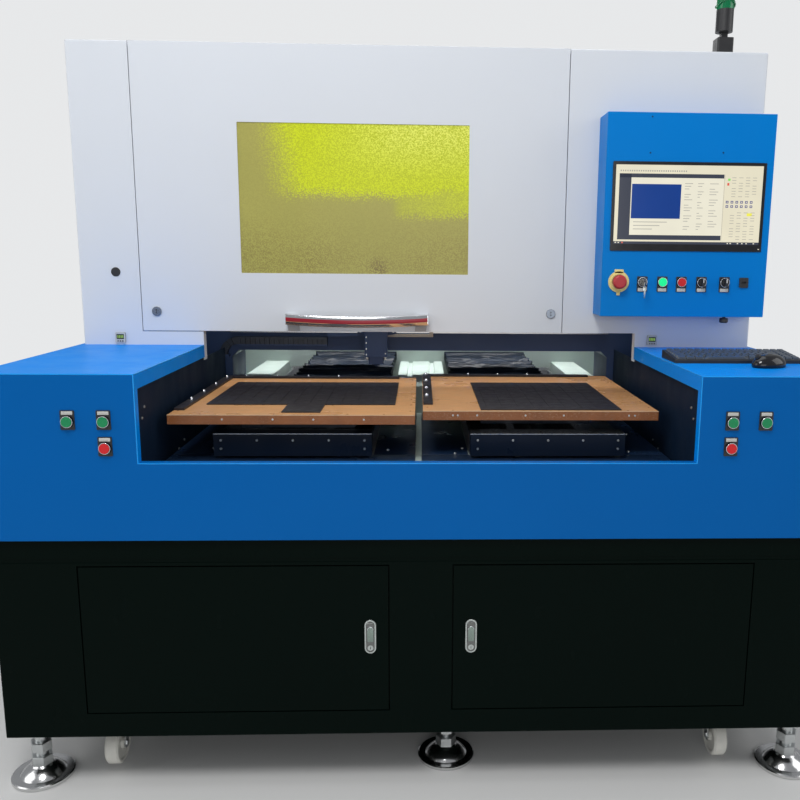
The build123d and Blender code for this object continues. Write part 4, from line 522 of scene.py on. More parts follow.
# Faint painted glow in the red cap.
RED_CAP = Moulding("red_cap", (0.55, 0.008, 0.012), 0.25, glow=0.12, depth=0.000006)
STOP_RED = Moulding("mushroom_red", (0.46, 0.028, 0.035), 0.38)
COLLAR_YELLOW = Moulding("collar_yellow", (0.78, 0.65, 0.25), 0.34)
NYLON = Moulding("pale_nylon", (0.62, 0.61, 0.56), 0.45)
TAB_GREY = Moulding("grey_tab", (0.36, 0.36, 0.37), 0.45)
PALE_PLATE = Moulding("pale_plate", (0.55, 0.55, 0.52), 0.4)
PALE_DEVICE = Moulding("pale_device", (0.5, 0.5, 0.49), 0.45)
DUCT_GREY = Moulding("duct_grey", (0.3, 0.31, 0.32), 0.5)
# Faint painted glow in all three tower lenses.
LENS_GREEN = Moulding("green_lens", (0.0, 0.2, 0.07), 0.14, glow=0.05, through=0.25)
LENS_AMBER = Moulding("amber_lens", (0.7, 0.24, 0.0), 0.14, glow=0.05, through=0.25)
LENS_RED = Moulding("red_lens", (0.5, 0.01, 0.01), 0.14, glow=0.05, through=0.25)
TABLE_BOARD = Board("laminate_board", (0.72, 0.362, 0.142), 0.28)
PLATE_BROWN = Moulding(
    "dark_plate", (0.021, 0.018, 0.021), 0.42, grain=0.0006, depth=0.000001, specular=0.3
)
CLOTH = CoatedCloth("coated_black_cloth", (0.0065, 0.0105, 0.018), 0.42)
PANE = FilterPane("laser_filter_pane", (0.68, 0.76, 0.012), 0.34)
STRIPE_RED = Moulding(
    "red_stripe", (0.30, 0.010, 0.024), 0.2, depth=0.000004, specular=0.35
)
WHITE_MARK = Moulding("white_mark", (0.78, 0.78, 0.76), 0.4)
BEZEL_BLACK = Metal("bezel_black", (0.06, 0.062, 0.066), 0.2)
BLACK_OXIDE = Metal("black_oxide", (0.035, 0.035, 0.04), 0.35)
WORN_KEY = Metal("worn_key", (0.24, 0.24, 0.23), 0.26)
LOCK_CHROME = Metal("lock_chrome", (0.24, 0.27, 0.32), 0.3)
# Bright metal for the devices' rims; also painted highlights on strips along the stage covers'
# upper edges and on the right cover's top faces.
RIM_METAL_AND_HIGHLIGHT = Metal("bare_edge", (0.74, 0.77, 0.80), 0.24)
# Painted shade: near-black for the keyway slots and lock recesses, where shade falls.
SLOT_SHADE = Moulding("dark_slot", (0.008, 0.008, 0.009), 0.6)
GREY_FIELD = Metal("lock_field", (0.20, 0.205, 0.20), 0.36)
PADDLE_SATIN = Metal("paddle_satin", (0.30, 0.37, 0.33), 0.3, along=(1, 1, 0.08))
BEIGE_BRACKET = Moulding("beige_bracket", (0.40, 0.37, 0.33), 0.45)
# Painted shade: a much darker copy of the laminate for the boards' front faces, over the cut
# edge's own darker tone.
SHADED_BOARD_EDGE = Board("laminate_edge", (0.262, 0.080, 0.014), 0.4)
# Painted highlight: a pale copy of the laminate for thin strips along the boards' front top edges.
HIGHLIGHT_BOARD = Board("laminate_arris", (0.66, 0.46, 0.29), 0.4)

SLOT_FINISH: dict[str, Finish] = {
    "base_black": GLOSS_BLACK, "housing_blue": BLUE, "shell_white": WHITE,
    "gantry_dark": NAVY, "bed_grey_green": BED_GREEN, "rail_steel": STEEL,
    "zinc_steel": ZINC, "foot_chrome": FOOT_CHROME, "handle_chrome": CHROME,
    "lock_steel": SATIN, "window_film": PANE, "monitor_black": GLOSSY_BLACK,
    "device_black": BLACK_PLASTIC, "device_metal": BLACK_PLASTIC, "button_green": GREEN_CAP,
    "button_red": RED_CAP, "key_steel": SATIN, "table_board": TABLE_BOARD,
    "fixture_black": PLATE_BROWN, "bellows_fabric": CLOTH, "chain_plastic": CHAIN_PLASTIC,
    "source_aluminium": ALUMINIUM, "panel_devices": ZINC, "lens_green": LENS_GREEN,
    "tower_black": BLACK_PLASTIC, "wheel_nylon": NYLON, "keyboard_black": BLACK_PLASTIC,
    "mouse_black": GLOSSY_BLACK,
}
NODE_FINISH: dict[str, Finish] = {
    "emergency_stop_button": STOP_RED, "console_green_button": LIT_GREEN,
    "stage_covers": GUARD_BLACK, "cam_lock_left": LOCK_CHROME,
    "cam_lock_right": LOCK_CHROME,
    "console_box": LIT_CONSOLE_BLUE, "switch_key": WORN_KEY,
}


def finish_node(name: str, finish: Finish) -> None:
    """Give every slot of a CAD node one finish.

    Args:
        name: the CAD node.
        finish: what it gets.
    """
    node = frame["nodes"][name]
    if not node.material_slots:
        node.data.materials.append(finish.material())
    for slot in node.material_slots:
        slot.material = finish.material()


def finish_faces(name: str, finish: Finish, test: Callable[[Vector, Vector], bool]) -> None:
    """Give some faces of a CAD node another finish.

    Args:
        name: the CAD node.
        finish: what those faces get.
        test: says by a face's middle and normal whether it is one of them.
    """
    node = frame["nodes"][name]
    node.data.materials.append(finish.material())
    index = len(node.data.materials) - 1
    for polygon in node.data.polygons:
        if test(polygon.center, polygon.normal):
            polygon.material_index = index


# Meshes
def front_plane(x: float, y: float, z: float) -> Matrix:
    """Local X is +X, local Y is up and local Z comes out of the machine's front."""
    return Matrix(((1, 0, 0, x), (0, 0, -1, y), (0, 1, 0, z), (0, 0, 0, 1)))


def circle(radius: float, count: int = 32) -> list[Point2]:
    """Points round a circle."""
    angles = [math.tau * i / count for i in range(count)]
    return [(radius * math.cos(angle), radius * math.sin(angle)) for angle in angles]


def rounded(
    width: float, height: float, radius: float, middle: Point2 = (0.0, 0.0), steps: int = 4
) -> list[Point2]:
    """Outline of a rectangle with round corners.

    Args:
        width: its size along local X.
        height: its size along local Y.
        radius: radius of the corners.
        middle: where its middle lies.
        steps: parts of each corner's arc.

    Returns:
        The outline's points, counter-clockwise.
    """
    points = []
    for quarter, (sx, sy) in enumerate(((1, 1), (-1, 1), (-1, -1), (1, -1))):
        for step in range(steps + 1):
            angle = math.tau / 4 * (quarter + step / steps)
            points.append((
                middle[0] + sx * (width / 2 - radius) + radius * math.cos(angle),
                middle[1] + sy * (height / 2 - radius) + radius * math.sin(angle),
            ))
    return points


def link(name: str, data: bpy.types.ID) -> bpy.types.Object:
    """A new object in the scene.

    Args:
        name: the object's name.
        data: its mesh, lamp or camera.

    Returns:
        The new object.
    """
    made = bpy.data.objects.new(name, data)
    bpy.context.scene.collection.objects.link(made)
    return made


def soften(data: bpy.types.Mesh, degrees: float) -> None:
    """Smooth a mesh's edges below an angle."""
    data.shade_smooth()
    data.set_sharp_from_angle(angle=math.radians(degrees))


class Shape:
    """Collects solids in one mesh, each with its own finish."""

    def __init__(self) -> None:
        """Start empty."""
        self.mesh = bmesh.new()
        self.finishes: list[Finish] = []

    def level(self, outline: Iterable[Point2], plane: Matrix, height: float) -> list:
        """New points of an outline, at a height over a plane."""
        return [self.mesh.verts.new(plane @ Vector((x, y, height))) for x, y in outline]

    def join(self, rings: list, finish: Finish, capped: bool = True) -> list:
        """Faces between rings of as many points each.

        Args:
            rings: lists of points, in order.
            finish: the faces' finish.
            capped: whether the ends get a face each; otherwise the rings close to a loop.

        Returns:
            The new faces, with the two ends first.
        """
        new = self.mesh.faces.new
        faces = [new(rings[0][::-1]), new(rings[-1])] if capped else []
        for low, high in zip(rings, rings[1:] + ([] if capped else rings[:1])):
            for i, j in zip(range(len(low)), (*range(1, len(low)), 0)):
                faces.append(new((low[i], low[j], high[j], high[i])))
        if finish not in self.finishes:
            self.finishes.append(finish)
        for face in faces:
            face.material_index = self.finishes.index(finish)
        return faces

    def prism(
        self, outline: Sequence[Point2], plane: Matrix, depth: float, finish: Finish,
        bevel: float = 0.0,
    ) -> None:
        """A plate with the outline on a plane, raised along the plane's local Z.

        Args:
            outline: points in the plane, counter-clockwise.
            plane: where the outline lies.
            depth: the plate's thickness.
            finish: its finish.
            bevel: size of the rounding along the raised face, 0 for none.
        """
        top = self.join([self.level(outline, plane, z) for z in (0.0, depth)], finish)[1]
        if bevel:
            bmesh.ops.bevel(
                self.mesh, geom=list(top.edges), offset=bevel, segments=2, affect="EDGES",
                profile=0.5, clamp_overlap=True,
            )

    def lathe(
        self, profile: Sequence[Point2], plane: Matrix, finish: Finish, count: int = 32
    ) -> None:
        """A turned solid about the plane's local Z.

        Args:
            profile: (radius, height) pairs, upwards; it is closed with flat ends.
            plane: where the axis stands.
            finish: its finish.
            count: sides of the turned solid.
        """
        self.join([self.level(circle(max(r, 1e-5), count), plane, z) for r, z in profile], finish)

    def ring(
        self, outer: float, inner: float, height: float, plane: Matrix, finish: Finish,
        edge: float = 0.0006,
    ) -> None:
        """A flat ring with a softened outer edge, open in the middle.

        Args:
            outer: its outer radius.
            inner: its inner radius.
            height: its thickness.
            plane: where its axis stands.
            finish: its finish.
            edge: size of the softened edge.
        """
        profile = [
            (inner, 0.0), (outer, 0.0), (outer, height - edge), (outer - edge, height),
            (inner, height),
        ]
        self.join([self.level(circle(r, 40), plane, z) for r, z in profile], finish, False)

    def bar(self, corner: Point3, size: Point3, finish: Finish, bevel: float = 0.0) -> None:
        """A straight bar.

        Args:
            corner: its lowest corner.
            size: its lengths along X, Y and Z.
            finish: its finish.
            bevel: size of the rounding along its top.
        """
        half = Vector((size[0] / 2, size[1] / 2, 0.0))
        outline = [(half.x * sx, half.y * sy) for sx, sy in ((-1, -1), (1, -1), (1, 1), (-1, 1))]
        self.prism(outline, Matrix.Translation(Vector(corner) + half), size[2], finish, bevel)

    def sweep(
        self, path: Sequence[Vector], section: Sequence[Point2], up: Vector, finish: Finish
    ) -> None:
        """A section carried along a path.

        Args:
            path: points of the path.
            section: points across it, first number to its side, second along up.
            up: the direction that stays up.
            finish: its finish.
        """
        rings = []
        for i, point in enumerate(path):
            ahead = path[min(i + 1, len(path) - 1)] - path[max(i - 1, 0)]
            side = ahead.normalized().cross(up).normalized()
            rings.append([self.mesh.verts.new(point + side * a + up * b) for a, b in section])
        self.join(rings, finish)

    def to_object(self, name: str) -> bpy.types.Object:
        """The mesh as an object that rides on nothing yet.

        Args:
            name: the object's name.

        Returns:
            The new object.
        """
        bmesh.ops.recalc_face_normals(self.mesh, faces=self.mesh.faces)
        data = bpy.data.meshes.new(name)
        self.mesh.to_mesh(data)
        self.mesh.free()
        for finish in self.finishes:
            data.materials.append(finish.material())
        soften(data, 35.0)
        return link(name, data)

    def piece(self, name: str, body: str, slot: str) -> bpy.types.Object:
        """The mesh as a finished piece on a body; the record's slot is not used."""
        return settle(self.to_object(name), body)


def settle(made: bpy.types.Object, body: str) -> bpy.types.Object:
    """Let a piece ride on a body and report it.

    Args:
        made: the piece.
        body: the body it rides on.

    Returns:
        The same piece.
    """
    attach(made, body)
    log.info("%s on %s: %d faces", made.name, body, len(made.data.polygons))
    return made


# Repeats
@dataclass(frozen=True)
class Spot:
    """A place for one copy of a repeated piece."""

    at: Point3
    facing: Point3 = (0.0, 0.0, 1.0)
    span: Point3 = (1.0, 1.0, 1.0)


def start_tree(name: str, sockets: dict[str, str]) -> Tree:
    """A geometry tree with its Geometry sockets and named inputs.

    Args:
        name: the tree's name.
        sockets: input name to its kind.

    Returns:
        The new tree.
    """
    group = bpy.data.node_groups.new(name, "GeometryNodeTree")
    kinds = {"Geometry": "Geometry", **sockets}
    for key, kind in kinds.items():
        group.interface.new_socket(key, in_out="INPUT", socket_type=f"NodeSocket{kind}")
    group.interface.new_socket("Geometry", in_out="OUTPUT", socket_type="NodeSocketGeometry")
    return Tree(group)


def run_tree(
    carrier: bpy.types.Object, group: bpy.types.NodeTree, values: dict, name: str,
    smooth: float = 35.0,
) -> bpy.types.Object:
    """Run a geometry tree on a carrier, before its other modifiers, and keep a plain mesh.

    Args:
        carrier: the object that holds the start mesh; it is removed.
        group: the geometry tree.
        values: input name to value.
        name: the new object's name.
        smooth: angle in degrees below which edges are smooth.

    Returns:
        The new object, which rides on nothing yet.
    """
    modifier = carrier.modifiers.new("repeat", "NODES")
    carrier.modifiers.move(len(carrier.modifiers) - 1, 0)
    modifier.node_group = group
    for item in group.interface.items_tree:
        if item.in_out == "INPUT" and item.name in values:
            modifier[item.identifier] = values[item.name]
    carrier.update_tag()
    bpy.context.view_layer.update()
    graph = bpy.context.evaluated_depsgraph_get()
    data = bpy.data.meshes.new_from_object(
        carrier.evaluated_get(graph), preserve_all_data_layers=True, depsgraph=graph
    )
    carrier.modifiers.clear()
    bpy.data.objects.remove(carrier)
    data.name = name
    soften(data, smooth)
    return link(name, data)


class Repeater:
    """A geometry tree that sets a copy of one piece on every marked point."""

    def __init__(self) -> None:
        """Build the tree: align to facing, spin at random within Turn, stretch by span."""
        tree = start_tree("set_on_points", {
            "Piece": "Object", "Size": "Float", "Turn": "Float", "Seed": "Int",
            "Finish": "Material",
        })
        self.group = tree.tree
        source = tree.add("NodeGroupInput").outputs
        piece = tree.add("GeometryNodeObjectInfo", {"Object": source["Piece"]})
        facing, span = (
            tree.out("GeometryNodeInputNamedAttribute", {"Name": name}, data_type="FLOAT_VECTOR")
            for name in ("facing", "span")
        )
        aligned = tree.out("FunctionNodeAlignRotationToVector", {"Vector": facing}, axis="Z")
        limits = {
            2: tree.times(source["Turn"], -1.0), 3: source["Turn"], "Seed": source["Seed"],
        }
        spin = tree.add("FunctionNodeRandomValue", limits, data_type="FLOAT").outputs[1]
        turn = tree.out("FunctionNodeEulerToRotation", {0: tree.point(0.0, 0.0, spin)})
        spun = tree.out("FunctionNodeRotateRotation", {0: aligned, 1: turn},
                        rotation_space="LOCAL")
        scale = tree.out(
            "ShaderNodeVectorMath", {0: span, "Scale": source["Size"]}, operation="SCALE"
        )
        placed = tree.out("GeometryNodeInstanceOnPoints", {
            "Points": source["Geometry"], "Instance": piece.outputs["Geometry"],
            "Rotation": spun, "Scale": scale,
        })
        tree.close(placed, source["Finish"])

    def place(
        self, name: str, body: str, slot: str, model: Shape, spots: Sequence[Spot],
        finish: Finish, turn: float = 0.0, seed: int = 1, size: float = 1.0,
    ) -> None:
        """Set copies of a model on spots, as one piece on one body.

        Args:
            name: the piece's name.
            body: the body it rides on.
            slot: the record's material slot; not used.
            model: the repeated shape, round its own origin, standing along +Z.
            spots: where the copies go.
            finish: their finish.
            turn: largest random turn about their own axis, in radians.
            seed: seed for that turn.
            size: scale of all copies.
        """
        data = bpy.data.meshes.new(f"{name}_points")
        data.from_pydata([spot.at for spot in spots], [], [])
        for key in ("facing", "span"):
            layer = data.attributes.new(key, "FLOAT_VECTOR", "POINT")
            for item, spot in zip(layer.data, spots):
                item.vector = getattr(spot, key)
        copy = model.to_object(f"{name}_model")
        values = {
            "Piece": copy, "Size": size, "Turn": turn, "Seed": seed, "Finish": finish.material(),
        }
        made = run_tree(link(f"{name}_carrier", data), self.group, values, name)
        bpy.data.objects.remove(copy)
        settle(made, body)

    def screws(
        self, name: str, body: str, model: Shape, spots: Sequence[Spot], seed: int,
        finish: Finish = ZINC,
    ) -> None:
        """Set small screws, each turned by up to one radian.

        Args:
            name: the piece's name.
            body: the body it rides on.
            model: one screw.
            spots: where the screws go.
            seed: seed for their turns.
            finish: their finish.
        """
        self.place(name, body, "zinc_steel", model, spots, finish, 1.0, seed)


def row(places: Iterable[Point2], y: float) -> list[Spot]:
    """Spots on a plane that faces the front, from X and Z."""
    return [Spot((x, y, z), FORWARD) for x, z in places]


def socket_screw(radius: float, height: float) -> Shape:
    """A cylinder head with a hexagon socket.

    Args:
        radius: radius of the head.
        height: its height over its seat.

    Returns:
        The model, standing on its seat.
    """
    shape = Shape()
    inner = radius * 0.48
    count = 24
    rings = [
        shape.level(circle(r, count), UPRIGHT, z) for r, z in (
            (radius, 0.0), (radius, height * 0.82), (radius * 0.9, height),
            (inner * 1.1, height),
        )
    ]
    hexagon = []
    for x, y in circle(1.0, count):
        angle = math.atan2(y, x) % (math.tau / 6) - math.tau / 12
        reach = inner * math.cos(math.tau / 12) / math.cos(angle)
        hexagon.append((x * reach, y * reach))
    rings += [shape.level(hexagon, UPRIGHT, z) for z in (height, height * 0.45)]
    shape.join(rings, ZINC)
    return shape


def turned(profile: Sequence[Point2], finish: Finish, count: int = 16) -> Shape:
    """A small turned part that stands on its seat.

    Args:
        profile: (radius, height) pairs, upwards.
        finish: its finish.
        count: its sides.

    Returns:
        The model.
    """
    shape = Shape()
    shape.lathe(profile, UPRIGHT, finish, count)
    return shape


def dome_screw(radius: float, height: float) -> Shape:
    """A round dome head on a thin washer.

    Args:
        radius: radius of the dome.
        height: height of the dome's top.

    Returns:
        The model.
    """
    profile = [(radius * 1.25, 0.0), (radius * 1.25, height * 0.12), (radius, height * 0.14)]
    for step in range(1, 7):
        angle = math.tau / 4 * step / 6
        profile.append((radius * math.cos(angle), height * (0.14 + 0.86 * math.sin(angle))))
    return turned(profile, CHROME, 20)


def cross_screw(radius: float, height: float) -> Shape:
    """A flat head with a small recess in its middle.

    Args:
        radius: radius of the head.
        height: its height.

    Returns:
        The model.
    """
    return turned([
        (radius, 0.0), (radius, height * 0.5), (radius * 0.85, height), (radius * 0.35, height),
        (radius * 0.25, height * 0.3),
    ], ZINC)


def rim(shape: Shape, x: float, y: float, z: float) -> None:
    """Bright turned rim round a panel device."""
    shape.ring(0.0136, 0.0124, 0.0008, front_plane(x, y, z), RIM_METAL_AND_HIGHLIGHT, 0.0003)


# Sub-assemblies
class Side(Enum):
    """Left or right of the operator, with the sign of X there."""

    LEFT = -1
    RIGHT = 1

    @property
    def word(self) -> str:
        """The side's name in piece names."""
        return self.name.lower()


@dataclass
class DoorAndShell:
    """White upper cabinet: handle stripe, blanking plug, gauge bars, and painted shade in the lock
    slots.
    """

    handle_middle: float = -0.1925
    handle_half: float = 0.2125
    handle_end_y: float = -0.2025
    handle_bow: float = 0.0140
    handle_sag: float = 0.0070
    stripe_z: float = 1.1310
    stripe_half: float = 0.0056
    stripe_proud: float = 0.0007
    crown_half: float = 0.0128
    foot_top: float = 1.1260
    foot_front: float = -0.1900
    crown: float = 0.0030
    plug: Point2 = (-0.902, 1.265)
    plug_radius: float = 0.0135
    gauge_x: Point2 = (-0.899, 0.7065)
    gauge_z: float = 1.071
    cam_lock_x: Point2 = (-0.788, 0.392)
    cam_lock_z: float = 1.150

    def build(self) -> None:
        """Make all pieces."""
        self.stripe()
        self.blanking_plug()
        self.gauges()
        finish_faces(
            "door_handle", TAB_GREY,
            lambda at, normal: at.z < self.foot_top and at.y > self.foot_front
            and abs(at.x - self.handle_middle) > 0.15,
        )
        # Painted shade in each cam lock's keyway slot.
        for side, x in zip(Side, self.cam_lock_x):
            finish_faces(
                f"cam_lock_{side.word}", SLOT_SHADE,
                lambda at, normal: at.y < CABINET_Y - 0.003
                and abs(at.x - x) < 0.0022 and abs(at.z - self.cam_lock_z) < 0.0062,
            )

    def stripe(self) -> None:
        """Red inlay that follows the bowed handle."""
        shape = Shape()
        middle, half = self.handle_middle, self.handle_half
        radius = (half ** 2 + self.handle_bow ** 2) / (2 * self.handle_bow)
        path = []
        for step in range(33):
            x = middle + (half - 0.002) * (step / 16 - 1)
            drop = radius - math.sqrt(radius ** 2 - (x - middle) ** 2)
            sag = self.handle_sag * (1 - ((x - middle) / half) ** 2)
            path.append(Vector((
                x, self.handle_end_y - self.handle_bow + drop, self.stripe_z - sag
            )))
        for half_height, proud, finish in (
            (self.crown_half, 0.0001, CHROME),
            (self.stripe_half, self.stripe_proud, STRIPE_RED),
        ):
            section = [(-0.0008, -half_height)]
            for step in range(13):
                rise = half_height * (step / 6 - 1)
                bulge = self.crown * (1 - (rise / self.crown_half) ** 2)
                section.append((bulge + proud, rise))
            section.append((-0.0008, half_height))
            shape.sweep(path, section, Vector((0, 0, 1)), finish)
        shape.piece("handle_stripe", "front_door", "button_red")

    def blanking_plug(self) -> None:
        """Low domed plug in the left panel."""
        radius = self.plug_radius
        shape = Shape()
        shape.lathe(
            [(radius, 0.0), (radius, 0.0012), (radius * 0.93, 0.0024), (radius * 0.6, 0.0031),
             (0.0, 0.0033)],
            front_plane(self.plug[0], CABINET_Y, self.plug[1]), BLACK_PLASTIC,
        )
        shape.piece("blanking_plug", "machine", "device_black")

    def gauges(self) -> None:
        """Pale frames and lit bars of the two gauges."""
        frame_y = CABINET_Y - 0.004
        finish_faces(
            "pressure_gauges", PALE_PLATE,
            lambda at, normal: normal.y < -0.5 and abs(at.y - frame_y) < 0.0004,
        )
        shape = Shape()
        lit = Glow("gauge_green", (0.42, 0.72, 0.16), strength=0.55)
        for x in self.gauge_x:
            for step in range(4):
                shape.prism(
                    rounded(0.0028, 0.0085, 0.0008, (x - 0.0072 + 0.0048 * step, 0.003), 2),
                    front_plane(0, CABINET_Y - 0.0031, self.gauge_z), 0.0003, lit,
                )
        shape.piece("gauge_bars", "machine", "device_black")


@dataclass
class Console:
    """Operator console: screen picture, collar, legends, rims, spare key, screws, knob."""

    repeat: Repeater
    screen_left: float = 0.550
    screen_right: float = 0.974
    screen_bottom: float = 1.3595
    screen_top: float = 1.580
    row_z: float = 1.251
    stop_x: float = 0.571
    knob_at: Point3 = (0.895, APRON_Y + 0.536, 1.151)
    face_screws: tuple[Point2, ...] = ((0.647, 1.711), (0.646, 1.613), (0.855, 1.616))
    key_out: float = 0.0314
    key_ring: float = 0.0085
    device_x: tuple[float, ...] = (0.640, 0.699, 0.755, 0.814, 0.882)

    def build(self) -> None:
        """Make all pieces."""
        self.screen()
        self.collar()
        self.legends()
        self.knob()
        self.rims()
        self.spare_key()
        self.repeat.screws(
            "console_screws", "machine", cross_screw(0.0022, 0.0008),
            row(self.face_screws, CONSOLE_Y), 17, BLACK_OXIDE,
        )

    def tile(
        self, shape: Shape, box: tuple[float, float, float, float], finish: Finish, level: int
    ) -> None:
        """One flat field of the screen picture.

        Args:
            shape: the picture's mesh.
            box: left, top, right and bottom as shares of the screen, top down.
            finish: its colour.
            level: how many fields lie under it.
        """
        width = self.screen_right - self.screen_left
        height = self.screen_top - self.screen_bottom
        left, top, right, bottom = box
        middle = (
            self.screen_left + width * (left + right) / 2,
            self.screen_top - height * (top + bottom) / 2,
        )
        plane = front_plane(middle[0], CONSOLE_Y - 0.0020, middle[1])
        shape.prism(
            rounded(width * (right - left), height * (bottom - top), 0.00015, steps=1),
            plane, 0.00012 * (level + 1), finish,
        )

    def screen(self) -> None:
        """A plain cutting program: a blue drawing field, dark margins and rows of marks."""
        cream = Glow("screen_cream", (0.90, 0.84, 0.64), strength=0.80)
        white = Glow("screen_white", (0.90, 0.86, 0.70), strength=0.84)
        slate = Glow("screen_slate", (0.045, 0.052, 0.078), strength=0.8)
        navy = Glow("screen_navy", (0.0, 0.038, 0.235), strength=0.95)
        mark = Glow("screen_mark", (0.46, 0.44, 0.40), strength=0.7)
        ring = Glow("screen_ring", (0.10, 0.11, 0.30), strength=0.8)
        green = Glow("screen_green", (0.25, 0.75, 0.15), strength=0.9)
        red = Glow("screen_red", (0.75, 0.12, 0.08), strength=0.9)
        yellow = Glow("screen_yellow", (0.9, 0.85, 0.1), strength=0.9)
        shape = Shape()
        fields = [
            ((0.0, 0.0, 1.0, 1.0), cream, 0), ((0.025, 0.110, 0.735, 0.160), slate, 1),
            ((0.025, 0.110, 0.106, 0.945), slate, 1), ((0.106, 0.885, 0.735, 0.945), slate, 1),
            ((0.106, 0.160, 0.735, 0.885), white, 2), ((0.112, 0.240, 0.447, 0.675), navy, 3),
            ((0.0, 0.968, 1.0, 1.0), slate, 1), ((0.762, 0.160, 0.778, 0.188), green, 2),
            ((0.758, 0.215, 0.772, 0.248), red, 2), ((0.905, 0.595, 0.940, 0.632), yellow, 2),
            ((0.055, 0.975, 0.066, 0.992), red, 2), ((0.738, 0.110, 0.740, 0.950), mark, 2),
        ]
        for step in range(30):
            fields.append((
                (0.03 + 0.0152 * step, 0.066, 0.038 + 0.0152 * step, 0.084), mark, 2
            ))
        for row in range(18):
            top = 0.225 + 0.034 * row
            for step, (left, right) in enumerate(((0.47, 0.525), (0.56, 0.60), (0.64, 0.70))):
                if (row + step) % 4 != 3:
                    fields.append(((left, top, right - 0.012 * (row % 3), top + 0.007), mark, 4))
        for row in range(3):
            fields.append((
                (0.13, 0.715 + 0.045 * row, 0.36 - 0.05 * row, 0.723 + 0.045 * row), mark, 4
            ))
        for row in range(24):
            top = 0.145 + 0.034 * row
            if 8 <= row <= 12:
                continue
            for step in range(4):
                if (row * 3 + step) % 5 != 4:
                    left = 0.790 + 0.047 * step
                    fields.append(((left, top, left + 0.028, top + 0.006), mark, 2))
        for row in range(2):
            for step in range(6):
                left = 0.756 + 0.033 * step
                top = 0.440 + 0.055 * row
                fields.append(((left, top, left + 0.018, top + 0.032), ring, 2))
                fields.append(((left + 0.005, top + 0.009, left + 0.013, top + 0.023), cream, 3))
        for left in (0.01, 0.03, 0.78, 0.80, 0.85, 0.88, 0.91, 0.96):
            fields.append(((left, 0.978, left + 0.010, 0.990), white, 2))
        for box, finish, level in fields:
            self.tile(shape, box, finish, level)
        shape.prism(
            rounded(0.004, 0.0022, 0.0008, steps=2),
            front_plane(0.9745, CONSOLE_Y - 0.003, 1.347), 0.0002, white,
        )
        shape.piece("screen_picture", "machine", "monitor_black")

    def collar(self) -> None:
        """Yellow collar under the emergency stop, with a tab above and one below."""
        plane = front_plane(self.stop_x, CONSOLE_Y, self.row_z)
        shape = Shape()
        shape.ring(0.0305, 0.0150, 0.0034, plane, COLLAR_YELLOW)
        shape.ring(0.0248, 0.0210, 0.0085, plane, COLLAR_YELLOW)
        for rise, width in ((0.0300, 0.026), (-0.0335, 0.010)):
            shape.prism(
                rounded(width, 0.011, 0.0015, (0, rise)), plane, 0.0034, COLLAR_YELLOW, 0.0005
            )
        shape.piece("stop_collar", "machine", "device_metal")

    def legends(self) -> None:
        """A pale plate on each holder, below its device."""
        shape = Shape()
        for x in self.device_x:
            shape.prism(
                rounded(0.0245, 0.0095, 0.0006, (0, -0.0222)),
                front_plane(x, CONSOLE_Y - 0.0024, self.row_z), 0.0006, PALE_PLATE, 0.0002,
            )
        shape.piece("console_legends", "machine", "device_black")

    def rims(self) -> None:
        """Bright rims of the devices and white pointers on the selector knobs."""
        shape = Shape()
        for x in self.device_x:
            rim(shape, x, CONSOLE_Y - 0.0074, self.row_z)
        shape.piece("device_rims", "machine", "zinc_steel")
        for side, x in zip(Side, self.device_x[3:]):
            knob = f"selector_{side.word}"
            top = min(vertex.co.y for vertex in frame["nodes"][knob].data.vertices)
            shape = Shape()
            shape.prism(
                rounded(0.0022, 0.0120, 0.0006, (0, 0.0050)), front_plane(x, top, self.row_z),
                0.0003, WHITE_MARK,
            )
            shape.piece(f"selector_pointer_{side.word}", knob, "device_black")

    def spare_key(self) -> None:
        """A split ring through the key's bow, with a second key hanging from it."""
        x, y, radius = self.device_x[0], CONSOLE_Y - self.key_out, self.key_ring
        ring_z = self.row_z - radius + 0.0012
        path = [
            Vector((x + across * 0.35, y + across * 0.9, ring_z + up))
            for up, across in circle(radius, 28)
        ]
        shape = Shape()
        shape.sweep([*path, path[0]], circle(0.0007, 8), Vector((1, 0, 0)), ZINC)
        shape.prism(
            [(-0.0020, -0.030), (0.0020, -0.030), (0.0022, -0.009), (0.0052, -0.006),
             (0.0052, 0.003), (-0.0052, 0.003), (-0.0052, -0.006), (-0.0022, -0.009)],
            front_plane(x + 0.0005, y + 0.0006, ring_z - radius), 0.0014, SATIN, 0.0002,
        )
        shape.piece("spare_key", "machine", "key_steel")

    def knob(self) -> None:
        """Knob under the box."""
        shape = Shape()
        shape.lathe(
            [(0.0045, 0.0), (0.0045, 0.004), (0.011, 0.0045), (0.0125, 0.008), (0.0125, 0.016),
             (0.010, 0.0185)],
            Matrix.Translation(self.knob_at) @ Matrix.Rotation(math.pi, 4, "X"),
            BLACK_PLASTIC, 20,
        )
        shape.piece("console_knob", "machine", "device_black")


@dataclass
class FrontButtons:
    """Dark bezels, legend plates and bright rims of the six front buttons."""

    places: tuple[Point2, ...] = (
        (-0.806, 0.9405), (-0.725, 0.9405), (-0.725, 0.8785),
        (0.731, 0.9405), (0.811, 0.9405), (0.731, 0.8785),
    )
    bezel_proud: float = 0.0080
    bezel_radius: float = 0.0149
    holder: float = 0.0031

    def build(self) -> None:
        """Make all pieces."""
        shape = Shape()
        for x, z in self.places:
            shape.prism(
                rounded(0.0252, 0.0082, 0.0006), front_plane(x, APRON_Y - 0.0024, z + 0.020),
                0.0009, PALE_PLATE, 0.0002,
            )
            rim(shape, x, APRON_Y - self.bezel_proud, z)
        shape.piece("button_legends", "machine", "device_metal")
        finish_faces(
            "button_holders", BEZEL_BLACK,
            lambda at, normal: at.y < APRON_Y - self.holder
            and min(math.hypot(at.x - x, at.z - z) for x, z in self.places) < self.bezel_radius,
        )


